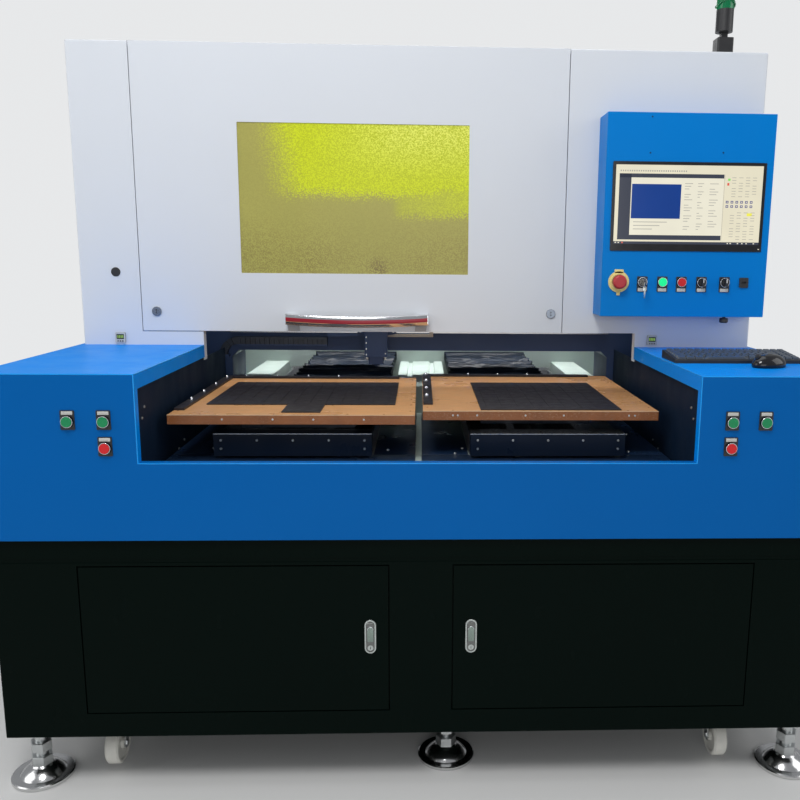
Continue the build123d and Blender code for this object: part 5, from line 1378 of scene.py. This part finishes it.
@dataclass
class FoldedEdges:
    """Housing: round beads with painted highlights along notch and shelf folds, and painted light
    on tops and returns.
    """

    half: float = 0.653
    outer: float = 1.0225
    notch_z: float = 0.842
    radius: float = 0.0016
    proud: float = 0.0003

    def build(self) -> None:
        """Lay a round bead with a painted highlight in each fold, and paint light on shelf tops
        and returns.
        """
        inset = self.radius - self.proud
        front = APRON_Y + inset
        top = SHELF_Z - inset
        sill = self.notch_z - inset
        shape = Shape()
        lines = [((-self.half - inset, front, sill), (self.half + inset, front, sill))]
        for side in Side:
            sign = side.value
            wall = sign * (self.half + inset)
            lines += [
                ((wall, front, sill), (wall, front, top)),
                ((wall, front, top), (sign * self.outer, front, top)),
                ((wall, front, top), (wall, CABINET_Y - 0.001, top)),
            ]
        for start, end in lines:
            run = Vector(end) - Vector(start)
            plane = Matrix.Translation(start) @ run.to_track_quat("Z", "Y").to_matrix().to_4x4()
            shape.lathe([(self.radius, 0.0), (self.radius, run.length)], plane, HIGHLIGHT_BLUE, 12)
        shape.piece("folded_edges", "machine", "housing_blue")
        # Painted light on the shelf tops and the notch's side returns.
        finish_faces(
            "housing", LIT_SHELF_BLUE,
            lambda at, normal: normal.z > 0.9 and at.z > SHELF_Z - 0.001
            or abs(normal.x) > 0.9 and abs(at.x) < 0.67,
        )


@dataclass
class WorkBay:
    """Work bay: screws of tables, covers and guards, floor sheets, painted shade on the boards'
    fronts and painted highlights on edges.
    """

    repeat: Repeater
    left_strip: tuple[float, ...] = (-0.445, -0.315, -0.177, -0.032)
    left_rear: tuple[float, ...] = (-0.566, -0.466, -0.366, -0.268)
    right_strip: tuple[float, ...] = (-0.373, -0.241, -0.098, 0.037)
    right_rear: tuple[float, ...] = (0.1565, 0.255, 0.354)
    left_edge: tuple[float, ...] = (-0.4973, -0.3718, -0.2703, -0.1442)
    right_edge: tuple[float, ...] = (0.0818, 0.0944, 0.1446, 0.2707, 0.3709, 0.5424, 0.5579)
    board_left: Point2 = (-0.633, 0.004)
    board_front: Point2 = (-0.6345, -0.5765)
    board_width: float = 0.617
    guard_x: float = 0.659
    stage_x: float = 0.329
    cover_left: Point2 = (-0.5305, 0.1275)
    floor_z: float = 0.800
    board_low: float = 0.9005
    bay_low: float = 0.66
    bay_half: float = 0.70
    cover_top: float = 0.868

    def build(self) -> None:
        """Make all pieces."""
        self.table_screws()
        for side in Side:
            self.cover_screws(side)
            self.guard_screws(side)
        self.floor_sheets()
        self.bare_edges()
        for side in Side:
            name = f"table_{side.word}"
            # Painted shade on the boards' front faces, over the cut edge's own darker tone.
            finish_faces(
                name, SHADED_BOARD_EDGE, lambda at, normal: normal.y < -0.5 and at.z > self.board_low
            )
            finish_faces(
                name, GUARD_BLACK, lambda at, normal: at.z < self.board_low or normal.z < -0.5
            )
        finish_faces(
            "base_cabinet", GUARD_NAVY,
            lambda at, normal: at.z > self.bay_low and abs(at.x) < self.bay_half,
        )
        # Painted light: the right stage cover's top faces get the bright metal.
        finish_faces(
            "stage_covers", RIM_METAL_AND_HIGHLIGHT,
            lambda at, normal: normal.z > 0.9 and at.z > self.cover_top and at.x > 0,
        )

    def table_screws(self) -> None:
        """Dome screws in the stop strips, and small ones in the boards' front edges."""
        top = TABLE_Z + 0.006
        domes = {
            ("left", "side"): [Spot((-0.6235, y, top)) for y in self.left_strip],
            ("right", "side"): [Spot((0.0150, y, top)) for y in self.right_strip],
            ("left", "rear"): [Spot((x, -0.0095, top)) for x in self.left_rear],
            ("right", "rear"): [Spot((x, 0.0465, top)) for x in self.right_rear],
        }
        for (word, kind), spots in domes.items():
            radius = 0.0056 if kind == "side" else 0.0042
            self.repeat.place(
                f"table_{word}_{kind}_screws", f"table_{word}", "foot_chrome",
                dome_screw(radius, radius * 1.2), spots, CHROME, turn=0.4, seed=3,
            )
        for side, y, edge in zip(Side, self.board_front, (self.left_edge, self.right_edge)):
            body = f"table_{side.word}"
            self.repeat.place(
                f"{body}_edge_screws", body, "zinc_steel", cross_screw(0.0026, 0.0009),
                row([(x, 0.9135) for x in edge], y), ZINC, turn=1.5, seed=5,
            )

    def guard_screws(self, side: Side) -> None:
        """Four screws in a side guard of the bay.

        Args:
            side: where the guard is.
        """
        sign = side.value
        places = ((0.077, 0.961), (0.058, 0.937), (0.387, 0.811), (0.334, 0.797))
        self.repeat.screws(
            f"guard_screws_{side.word}", "machine", socket_screw(0.0034, 0.0024),
            [Spot((self.guard_x * sign, APRON_Y + y, z), (-sign, 0, 0)) for y, z in places], 19,
        )

    def floor_sheets(self) -> None:
        """Black sheets over the bed beside the stages, with a gap down the middle; their dark
        colour also stands for the shade in the front of the bay.
        """
        shape = Shape()
        low, thick = self.floor_z, 0.002
        for left, right, front, rear in (
            (-0.6498, -0.0155, -0.6943, -0.5475), (0.0010, 0.6498, -0.6943, -0.5475),
            (-0.6498, -0.5330, -0.5470, 0.0400), (-0.1250, -0.0155, -0.5470, 0.0400),
            (0.0010, 0.1250, -0.5470, 0.0400), (0.5330, 0.6498, -0.5470, 0.0400),
        ):
            shape.bar((left, front, low), (right - left, rear - front, thick), FLOOR_NAVY, 0.0005)
        shape.piece("bay_floor_sheets", "machine", "gantry_dark")
        self.repeat.screws(
            "floor_screws", "machine", socket_screw(0.0042, 0.0034),
            [Spot((x, y, low + thick)) for x, y in (
                (-0.625, -0.660), (-0.330, -0.660), (-0.040, -0.660), (0.020, -0.660),
                (0.330, -0.660), (0.625, -0.660), (0.090, -0.540), (0.112, -0.480),
                (-0.090, -0.500), (0.560, -0.520), (-0.560, -0.480), (0.610, -0.300),
            )], 23,
        )

    def bare_edges(self) -> None:
        """Painted highlights: pale strips along the boards' front top edges and bright strips
        along the stage covers' upper edges.
        """
        for side, left, front in zip(Side, self.board_left, self.board_front):
            corner = (left, front - 0.0002, TABLE_Z - 0.0014)
            shape = Shape()
            shape.bar(corner, (self.board_width, 0.0014, 0.0015), HIGHLIGHT_BOARD)
            shape.piece(f"board_arris_{side.word}", f"table_{side.word}", "table_board")
        # Painted highlight strips along the covers' upper edges.
        shape = Shape()
        for left in self.cover_left:
            shape.bar((left, -0.5949, 0.8668), (0.403, 0.0010, 0.0022), RIM_METAL_AND_HIGHLIGHT)
        shape.piece("cover_bare_edges", "machine", "zinc_steel")

    def cover_screws(self, side: Side) -> None:
        """Five screws along the top of a stage cover and one low at each end.

        Args:
            side: which stage.
        """
        middle = self.stage_x * side.value
        places = [(middle + 0.0915 * step, 0.8512) for step in range(-2, 3)]
        places += [(middle + 0.183 * step, 0.829) for step in (-1, 1)]
        self.repeat.screws(
            f"stage_cover_screws_{side.word}", "machine", socket_screw(0.0031, 0.002),
            row(places, APRON_Y + 0.200), 7,
        )


@dataclass
class PleatedCover:
    """Coated cloth cover behind a table, folded in pleats and sewn to two end frames."""

    side: Side
    front: float
    rear: float = 0.7052
    centre: float = 0.263
    shift: float = -0.003
    width: float = 0.330
    top: float = 0.930
    bottom: float = 0.896
    folds: int = 14
    travel: float = 0.43

    def tree(self) -> bpy.types.NodeTree:
        """Geometry tree that bends a grid over the frame and folds it in pleats.

        Returns:
            The tree, which both covers share.
        """
        group = bpy.data.node_groups.get("pleated_cover")
        if group is not None:
            return group
        tree = start_tree("pleated_cover", {
            "Width": "Float", "Height": "Float", "Length": "Float", "Folds": "Int",
            "Depth": "Float", "Slack": "Float", "Sag": "Float", "Across": "Int", "Steps": "Int",
            "Start": "Vector", "Finish": "Material",
        })
        source = tree.add("NodeGroupInput").outputs
        width, height = source["Width"], source["Height"]
        grid = tree.out("GeometryNodeMeshGrid", {
            "Size X": 1.0, "Size Y": 1.0, "Vertices X": source["Across"],
            "Vertices Y": tree.plus(tree.times(source["Folds"], source["Steps"]), 1.0),
        })
        place = tree.parts(tree.out("GeometryNodeInputPosition"))
        u, v = tree.plus(place[0], 0.5), tree.plus(place[1], 0.5)
        wave = tree.math("SINE", tree.times(tree.times(v, source["Folds"]), math.pi))
        fold = tree.math("POWER", tree.math("ABSOLUTE", wave), 1.15)
        lumps = tree.minus(
            tree.noise(tree.point(tree.times(u, 2.2), tree.times(v, 9.0)), 3.0, 2.0), 0.5
        )
        slack = tree.times(lumps, source["Slack"])
        depth = tree.times(fold, tree.plus(source["Depth"], slack))
        girth = tree.plus(width, tree.times(height, 2.0))
        path = tree.times(u, girth)
        half = tree.times(width, 0.5)
        edge = tree.minus(half, depth)
        x = tree.minus(tree.minus(path, height), half)
        x = tree.math("MAXIMUM", tree.math("MINIMUM", x, edge), tree.times(edge, -1.0))
        hollow = tree.noise(tree.point(tree.times(u, 1.3), tree.times(v, 5.0), 4.0), 2.0, 2.0)
        held = tree.times(tree.minus(1.0, v), v)
        sag = tree.times(tree.times(tree.span(hollow, 0.36, 0.64), source["Sag"]),
                         tree.span(held, 0.0, 0.05))
        crest = tree.minus(tree.minus(height, depth), sag)
        rise = tree.math("MINIMUM", path, tree.minus(girth, path))
        z = tree.math("MINIMUM", rise, crest)
        lean = tree.times(tree.times(lumps, 0.010), fold)
        y = tree.plus(tree.times(v, source["Length"]), lean)
        position = tree.out(
            "ShaderNodeVectorMath", {0: tree.point(x, y, z), 1: source["Start"]}, operation="ADD"
        )
        inputs = {"Geometry": grid, "Position": position}
        tree.close(tree.out("GeometryNodeSetPosition", inputs), source["Finish"])
        return tree.tree

    def build(self) -> None:
        """Make the cloth and its two end frames."""
        word = self.side.word
        x = self.centre * self.side.value + self.shift
        carrier = link("cover_carrier", bpy.data.meshes.new("cover_start"))
        shell = carrier.modifiers.new("wall", "SOLIDIFY")
        shell.thickness = 0.0012
        shell.offset = -1.0
        length = self.rear - self.front
        made = run_tree(carrier, self.tree(), {
            "Width": self.width - 0.002, "Height": self.top - self.bottom - 0.001,
            "Length": length, "Folds": self.folds, "Depth": 0.0095, "Slack": 0.009, "Sag": 0.012,
            "Across": 90, "Steps": 10, "Start": (x, self.front, self.bottom),
            "Finish": CLOTH.material(),
        }, f"pleated_cover_{word}", 70.0)
        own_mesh(made)
        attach(made, "machine")
        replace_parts(made, f"bellows_{word}")
        log.info("pleated cover %s: %d faces", word, len(made.data.polygons))
        self.frames(x)

    def frames(self, x: float) -> None:
        """Flat end frames, one that moves with the table and one that stays.

        Args:
            x: the cover's middle.
        """
        word = self.side.word
        height = self.top - self.bottom
        for y, body, place in (
            (self.front + 0.0005, f"table_{word}", "front"),
            (self.rear - 0.0038, "machine", "rear"),
        ):
            shape = Shape()
            shape.bar((x - self.width / 2, y, self.bottom), (self.width, 0.0033, height),
                      GUARD_BLACK, 0.0006)
            shape.piece(f"cover_frame_{place}_{word}", body, "gantry_dark")


@dataclass
class GantryHead:
    """Laser head and carriage: their screws, and snap pins of the cable chain."""

    repeat: Repeater
    left: float = -0.187
    right: float = -0.113
    front: float = 0.0409
    pitch: float = 0.0195
    carriage: Point3 = (-0.150, 0.1092, 1.121)
    chain_start: Point3 = (-0.318, 0.1102, 1.034)
    chain_link: float = 0.016
    plate: Point2 = (0.0256, 0.9879)
    bracket: Point2 = (-0.085, 1.0765)
    rail_y: Point2 = (0.1232, 0.1353)
    rail_half: float = 0.643
    rail_low: float = 1.05

    def build(self) -> None:
        """Make all pieces."""
        places = [(self.left + 0.0055, 0.996 + self.pitch * step) for step in range(9)]
        places += [(self.right - 0.0055, z) for z in (1.165, 1.000)]
        self.repeat.screws(
            "head_screws", "laser_head", socket_screw(0.0022, 0.0014), row(places, self.front), 11
        )
        x, y, z = self.carriage
        corners = [(x + wide, z + tall) for wide in (-0.055, 0.055) for tall in (-0.053, 0.053)]
        self.repeat.screws(
            "carriage_screws", "x_carriage", socket_screw(0.0042, 0.004), row(corners, y), 13
        )
        finish_faces(
            "laser_head", ZINC,
            lambda at, normal: at.z < self.plate[1] and abs(at.x - x) > self.plate[0],
        )
        finish_faces(
            "x_carriage", BEIGE_BRACKET,
            lambda at, normal: at.x > self.bracket[0] and at.z < self.bracket[1],
        )
        finish_faces(
            "gantry_beam", STEEL,
            lambda at, normal: self.rail_y[0] < at.y < self.rail_y[1]
            and abs(at.x) < self.rail_half and at.z > self.rail_low,
        )
        self.chain_pins()

    def chain_pins(self) -> None:
        """Snap pins on the side of the straight chain links."""
        x, y, z = self.chain_start
        places = [
            (x - self.chain_link * step + reach, z)
            for step in range(1, 19) for reach in (-0.004, 0.004)
        ]
        cap = turned([(0.0022, 0.0), (0.0022, 0.00042), (0.00176, 0.0006)], BLACK_PLASTIC)
        self.repeat.place(
            "chain_pins", "machine", "chain_plastic", cap, row(places, y), CHAIN_PLASTIC
        )


@dataclass
class SignalTower:
    """Folding light tower: fluted lenses in three colours."""

    repeat: Repeater
    x: float = 0.892
    y: float = -0.1145
    radius: float = 0.025
    lens_bottom: float = 2.041
    pitch: float = 0.042
    flutes: int = 36
    rib: Point2 = (0.036, 0.0024)

    def build(self) -> None:
        """Colour the lenses from below and set ribs round each."""
        for index, finish in enumerate((LENS_GREEN, LENS_AMBER, LENS_RED)):
            low = self.lens_bottom + index * self.pitch
            if index:
                finish_faces(
                    "tower_lenses", finish,
                    lambda at, normal: low - 0.001 < at.z < low - 0.001 + self.pitch,
                )
            spots = [
                Spot((self.x + self.radius * x, self.y + self.radius * y, low + 0.0200), (x, y, 0))
                for x, y in circle(1.0, self.flutes)
            ]
            rib = Shape()
            rib.prism(rounded(*self.rib, 0.0011), UPRIGHT, 0.0006, finish, 0.0004)
            self.repeat.place(
                f"lens_ribs_{index}", "signal_tower", "lens_green", rib, spots, finish
            )


@dataclass
class Desk:
    """Keyboard with shaped keys and the mouse's wheel, on the right shelf."""

    repeat: Repeater
    left: float = 0.662
    width: float = 0.340
    front: float = APRON_Y + 0.232
    depth: float = 0.125
    low: float = 0.010
    high: float = 0.022
    wheel_at: Point3 = (0.846, APRON_Y + 0.1525, SHELF_Z + 0.0268)
    mouse_turn: float = 20.0
    margin: Point2 = (0.007, 0.006)
    gap: float = 0.0022
    key_height: float = 0.0050
    rows: tuple[tuple[float, ...], ...] = (
        (1.25, 1.25, 1.25, 6.25, 1.25, 1.25, 1.25, 1.25, 1, 1),
        (2.25, *(1,) * 10, 2.75, 1, 1),
        (1.75, *(1,) * 11, 2.25, 1, 1),
        (1.5, *(1,) * 12, 1.5, 1, 1),
        (*(1,) * 13, 2, 1, 1),
        (*(1,) * 17,),
    )

    def build(self) -> None:
        """Make all pieces."""
        self.case()
        self.keys()
        self.wheel()

    def case(self) -> None:
        """Sloping case, which stands for the CAD keyboard."""
        profile = [
            (0.0, 0.0), (self.depth, 0.0), (self.depth, self.high - 0.002),
            (self.depth - 0.002, self.high), (0.002, self.low), (0.0, self.low - 0.002),
        ]
        plane = Matrix((
            (0, 0, 1, self.left), (1, 0, 0, self.front), (0, 1, 0, SHELF_Z), (0, 0, 0, 1)
        ))
        shape = Shape()
        shape.prism(profile, plane, self.width, BLACK_PLASTIC)
        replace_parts(shape.piece("keyboard_case", "machine", "keyboard_black"), "keyboard")

    def keys(self) -> None:
        """Six rows of key tops, each a frustum stretched to its key's width."""
        cap = Shape()
        cap.prism(rounded(1.0, 1.0, 0.12, steps=3), UPRIGHT, 0.5, BLACK_PLASTIC)
        for vertex in cap.mesh.verts:
            if vertex.co.z > 0.2:
                vertex.co = (vertex.co.x * 0.84, vertex.co.y * 0.80 + 0.03, 1.0)
        slope = math.atan2(self.high - self.low, self.depth)
        facing = (0.0, -math.sin(slope), math.cos(slope))
        beside, before = self.margin
        unit = (self.width - 2 * beside) / len(self.rows[-1])
        pitch = (self.depth - 2 * before) / len(self.rows)
        spots = []
        for index, widths in enumerate(self.rows):
            x = self.left + beside
            along = before + pitch * (index + 0.5)
            rise = self.low + along * math.tan(slope)
            for share in widths:
                width = unit * share
                spots.append(Spot(
                    (x + width / 2, self.front + along, SHELF_Z + rise),
                    facing, (width - self.gap, pitch - self.gap, self.key_height),
                ))
                x += width
        # Painted highlights: the key tops get a paler, bluer copy of the case's black plastic.
        self.repeat.place(
            "keyboard_keys", "machine", "keyboard_black", cap, spots,
            Moulding("key_top_black", (0.050, 0.066, 0.092), 0.30),
        )

    def wheel(self) -> None:
        """The mouse's wheel."""
        turn = Matrix.Translation(self.wheel_at)
        turn = turn @ Matrix.Rotation(math.radians(self.mouse_turn), 4, "Z")
        turn = turn @ Matrix.Rotation(math.tau / 4, 4, "X")
        shape = Shape()
        shape.lathe(
            [(0.0070, -0.003), (0.0082, -0.0022), (0.0082, 0.0022), (0.0070, 0.003)],
            turn, BLACK_PLASTIC, 20,
        )
        shape.piece("mouse_wheel", "machine", "keyboard_black")


@dataclass
class Interior:
    """Locks, and finishes of what shows when the doors are open or the head moves."""

    paddle_y: float = -0.7860
    lever_half: float = 0.0075
    lever_span: Point2 = (0.391, 0.430)
    lock_x: float = 0.123
    plate_front: float = APRON_Y + 1.5655
    field_y: Point2 = (-0.78505, -0.78455)
    mouth_y: float = -0.7855
    recess_y: Point2 = (-0.7838, -0.770)
    recess_half: float = 0.0119
    stage_top: float = 0.8525

    def build(self) -> None:
        """Repaint faces of the electrical plate, device bodies, locks and stages."""
        rows = (
            (PALE_DEVICE, 0.055, (0.465,)), (DUCT_GREY, 0.0172, (0.3975, 0.5275, 0.2675)),
            (BLACK_PLASTIC, 0.0425, (0.3325,)),
        )
        for finish, reach, heights in rows:
            finish_faces(
                "electrical_panel", finish,
                lambda at, normal: at.y < self.plate_front
                and any(abs(at.z - height) < reach for height in heights),
            )
        finish_faces(
            "console_fittings", BEZEL_BLACK,
            lambda at, normal: CONSOLE_Y - 0.0076 < at.y < CONSOLE_Y - 0.0028
            and abs(at.x - 0.571) > 0.02 and at.x < 0.92,
        )
        for side in Side:
            middle = self.lock_x * side.value
            deep, back = self.recess_y
            finish_faces(
                f"lock_housing_{side.word}", GREY_FIELD,
                lambda at, normal: normal.y < -0.5 and self.field_y[0] < at.y < self.field_y[1],
            )
            # Painted shade on the walls and floor of the paddle's recess.
            finish_faces(
                f"lock_housing_{side.word}", SLOT_SHADE,
                lambda at, normal: self.mouth_y < at.y < back
                and abs(at.x - middle) < self.recess_half and abs(normal.y) < 0.5
                or normal.y < -0.5 and deep < at.y < back,
            )
            finish_node(f"lock_paddle_{side.word}", GREY_FIELD)
            self.lever(side, middle)
        finish_faces("table_stages", STEEL, lambda at, normal: at.z > self.stage_top)

    def lever(self, side: Side, middle: float) -> None:
        """Round-topped lever plate on a lock's paddle, with a bright lip.

        Args:
            side: the door it is on.
            middle: X of the lock's centre line.
        """
        half, low, high = self.lever_half, *self.lever_span
        arc = [
            (half * math.cos(math.pi * i / 12), high - half + half * math.sin(math.pi * i / 12))
            for i in range(13)
        ]
        shape = Shape()
        shape.prism(
            [(-half, low), (half, low), *arc], front_plane(middle, self.paddle_y, 0.0), 0.0007,
            PADDLE_SATIN, 0.0002,
        )
        path = [Vector((middle + x * 0.93, self.paddle_y - 0.0007, z - 0.0005)) for x, z in arc]
        shape.sweep(path, circle(0.0008, 8), Vector(FORWARD), RIM_METAL_AND_HIGHLIGHT)
        shape.piece(f"lock_lever_{side.word}", f"lock_paddle_{side.word}", "lock_steel")


# Stage and light
BACKDROP: Color = (0.80, 0.81, 0.82)


@dataclass(frozen=True)
class PaleFloor(Finish):
    """Floor paint that fades into the backdrop's colour far away."""

    near: float = 2.6
    far: float = 7.0

    def dress(self, skin: Skin) -> None:
        """Even light in the distance, in what the camera and reflections see.

        Args:
            skin: the material's tree.
        """
        away = skin.add("ShaderNodeVectorMath", {0: skin.coords}, operation="LENGTH").outputs[1]
        path = skin.add("ShaderNodeLightPath").outputs
        seen = skin.math("MAXIMUM", path["Is Camera Ray"], path["Is Glossy Ray"])
        mixed = skin.out("ShaderNodeMixShader", {
            0: skin.times(skin.span(away, self.near, self.far), seen), 1: skin.shader.outputs[0],
            2: skin.out("ShaderNodeEmission", {"Color": BACKDROP, "Strength": 1.0}),
        })
        skin.feed(skin.output, {"Surface": mixed})


@dataclass
class Studio:
    """Plain pale floor, soft lamps and the camera at the photograph's angle."""

    eye: Point3 = (-0.0024, -2.6506, 1.320)
    yaw: float = 2.265
    pitch: float = 10.0
    roll: float = 0.536
    lens: float = 36.73
    shift: float = -0.0653

    def build(self) -> None:
        """Make floor, world, lamps and camera."""
        self.floor()
        self.world()
        self.lamp("key_panel", (-0.6, -2.5, 3.9), (0.1, -0.3, 1.0), (1.1, 1.1), 56.0)
        self.lamp("left_panel", (-3.4, -1.6, 2.4), (0.0, 0.0, 1.0), (2.2, 2.2), 27.0)
        self.lamp("right_panel", (3.6, -1.2, 2.6), (0.0, 0.0, 1.0), (2.2, 2.2), 27.0)
        self.lamp("rear_panel", (0.6, 3.8, 3.2), (0.0, 0.6, 1.0), (2.4, 2.4), 44.0)
        self.lamp("top_panel", (0.0, 0.3, 4.4), (0.0, 0.1, 0.0), (3.0, 3.0), 42.0)
        self.lamp("front_fill", (0.3, -4.6, 1.5), (0.0, 0.0, 1.0), (2.4, 1.6), 22.0)
        self.lamp("cabin_front", (0.0, 0.0, 1.84), (0.0, 0.04, 0.8), (1.6, 0.16), 2.0, 70.0)
        self.lamp("cabin_rear", (0.0, 0.56, 1.84), (0.0, 0.50, 0.8), (1.6, 0.16), 6.0, 55.0)
        self.camera()

    def floor(self) -> None:
        """A wide pale disc."""
        shape = Shape()
        pale = PaleFloor("pale_floor", (0.72, 0.72, 0.71), 0.55)
        shape.lathe([(30.0, -0.02), (30.0, 0.0)], UPRIGHT, pale, 64)
        shape.to_object("floor")

    def world(self) -> None:
        """Even light from all round, and the backdrop's colour for what looks past."""
        world = bpy.data.worlds.new("studio")
        bpy.context.scene.world = world
        world.use_nodes = True
        tree = Tree(world.node_tree)
        world.node_tree.nodes.clear()
        path = tree.add("ShaderNodeLightPath").outputs
        seen = tree.math("MAXIMUM", path["Is Camera Ray"], path["Is Transmission Ray"])
        around = tree.out("ShaderNodeBackground", {"Color": (0.93, 0.96, 1.0), "Strength": 0.34})
        behind = tree.out("ShaderNodeBackground", {"Color": BACKDROP, "Strength": 1.0})
        mixed = tree.out("ShaderNodeMixShader", {0: seen, 1: around, 2: behind})
        tree.add("ShaderNodeOutputWorld", {"Surface": mixed})

    @staticmethod
    def lamp(
        name: str, at: Point3, target: Point3, size: Point2, power: float, spread: float = 180.0
    ) -> None:
        """A soft panel lamp, which the camera doesn't see.

        Args:
            name: its name.
            at: where it hangs.
            target: what it points at.
            size: width and height of the panel.
            power: watts.
            spread: angle in degrees that its light fills.
        """
        data = bpy.data.lights.new(name, "AREA")
        data.spread = math.radians(spread)
        data.shape = "RECTANGLE"
        data.size, data.size_y = size
        data.energy = power
        lamp = link(name, data)
        lamp.location = at
        lamp.rotation_mode = "QUATERNION"
        lamp.rotation_quaternion = (Vector(target) - Vector(at)).to_track_quat("-Z", "Y")
        lamp.visible_camera = False

    def camera(self) -> None:
        """Camera solved from the photograph's straight edges."""
        yaw, pitch, roll = (math.radians(v) for v in (self.yaw, self.pitch, self.roll))
        ahead = Vector((
            math.sin(yaw) * math.cos(pitch), math.cos(yaw) * math.cos(pitch), -math.sin(pitch)
        ))
        right = Vector((math.cos(yaw), -math.sin(yaw), 0.0))
        up = right.cross(ahead)
        right, up = (
            math.cos(roll) * right + math.sin(roll) * up,
            -math.sin(roll) * right + math.cos(roll) * up,
        )
        data = bpy.data.cameras.new("photo_camera")
        data.lens = self.lens
        data.sensor_width = 36.0
        data.shift_x = self.shift
        camera = link("photo_camera", data)
        turned = Matrix((right, up, -ahead)).transposed().to_4x4()
        camera.matrix_world = Matrix.Translation(self.eye) @ turned
        bpy.context.scene.camera = camera
        bpy.context.scene.view_settings.view_transform = "Standard"


def dress_nodes() -> None:
    """Give every CAD node the finish of its slot, or its own."""
    for row in frame["record"]["subparts"]:
        name = row["node"]
        finish = NODE_FINISH.get(name, SLOT_FINISH[row["material_slot"]])
        finish_node(name, finish)
        log.info("finish %s on %s", finish.name, name)


def main() -> None:
    """Build the whole scene in order."""
    logging.basicConfig(level=logging.INFO, format="%(name)s: %(message)s")
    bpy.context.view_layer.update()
    dress_nodes()
    repeat = Repeater()
    DoorAndShell().build()
    Console(repeat).build()
    FrontButtons().build()
    FoldedEdges().build()
    WorkBay(repeat).build()
    PleatedCover(Side.LEFT, APRON_Y + 0.8003).build()
    PleatedCover(Side.RIGHT, APRON_Y + 0.8583).build()
    GantryHead(repeat).build()
    SignalTower(repeat).build()
    Desk(repeat).build()
    Interior().build()
    Studio().build()
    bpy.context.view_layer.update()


if __name__ == "__main__":
    main()
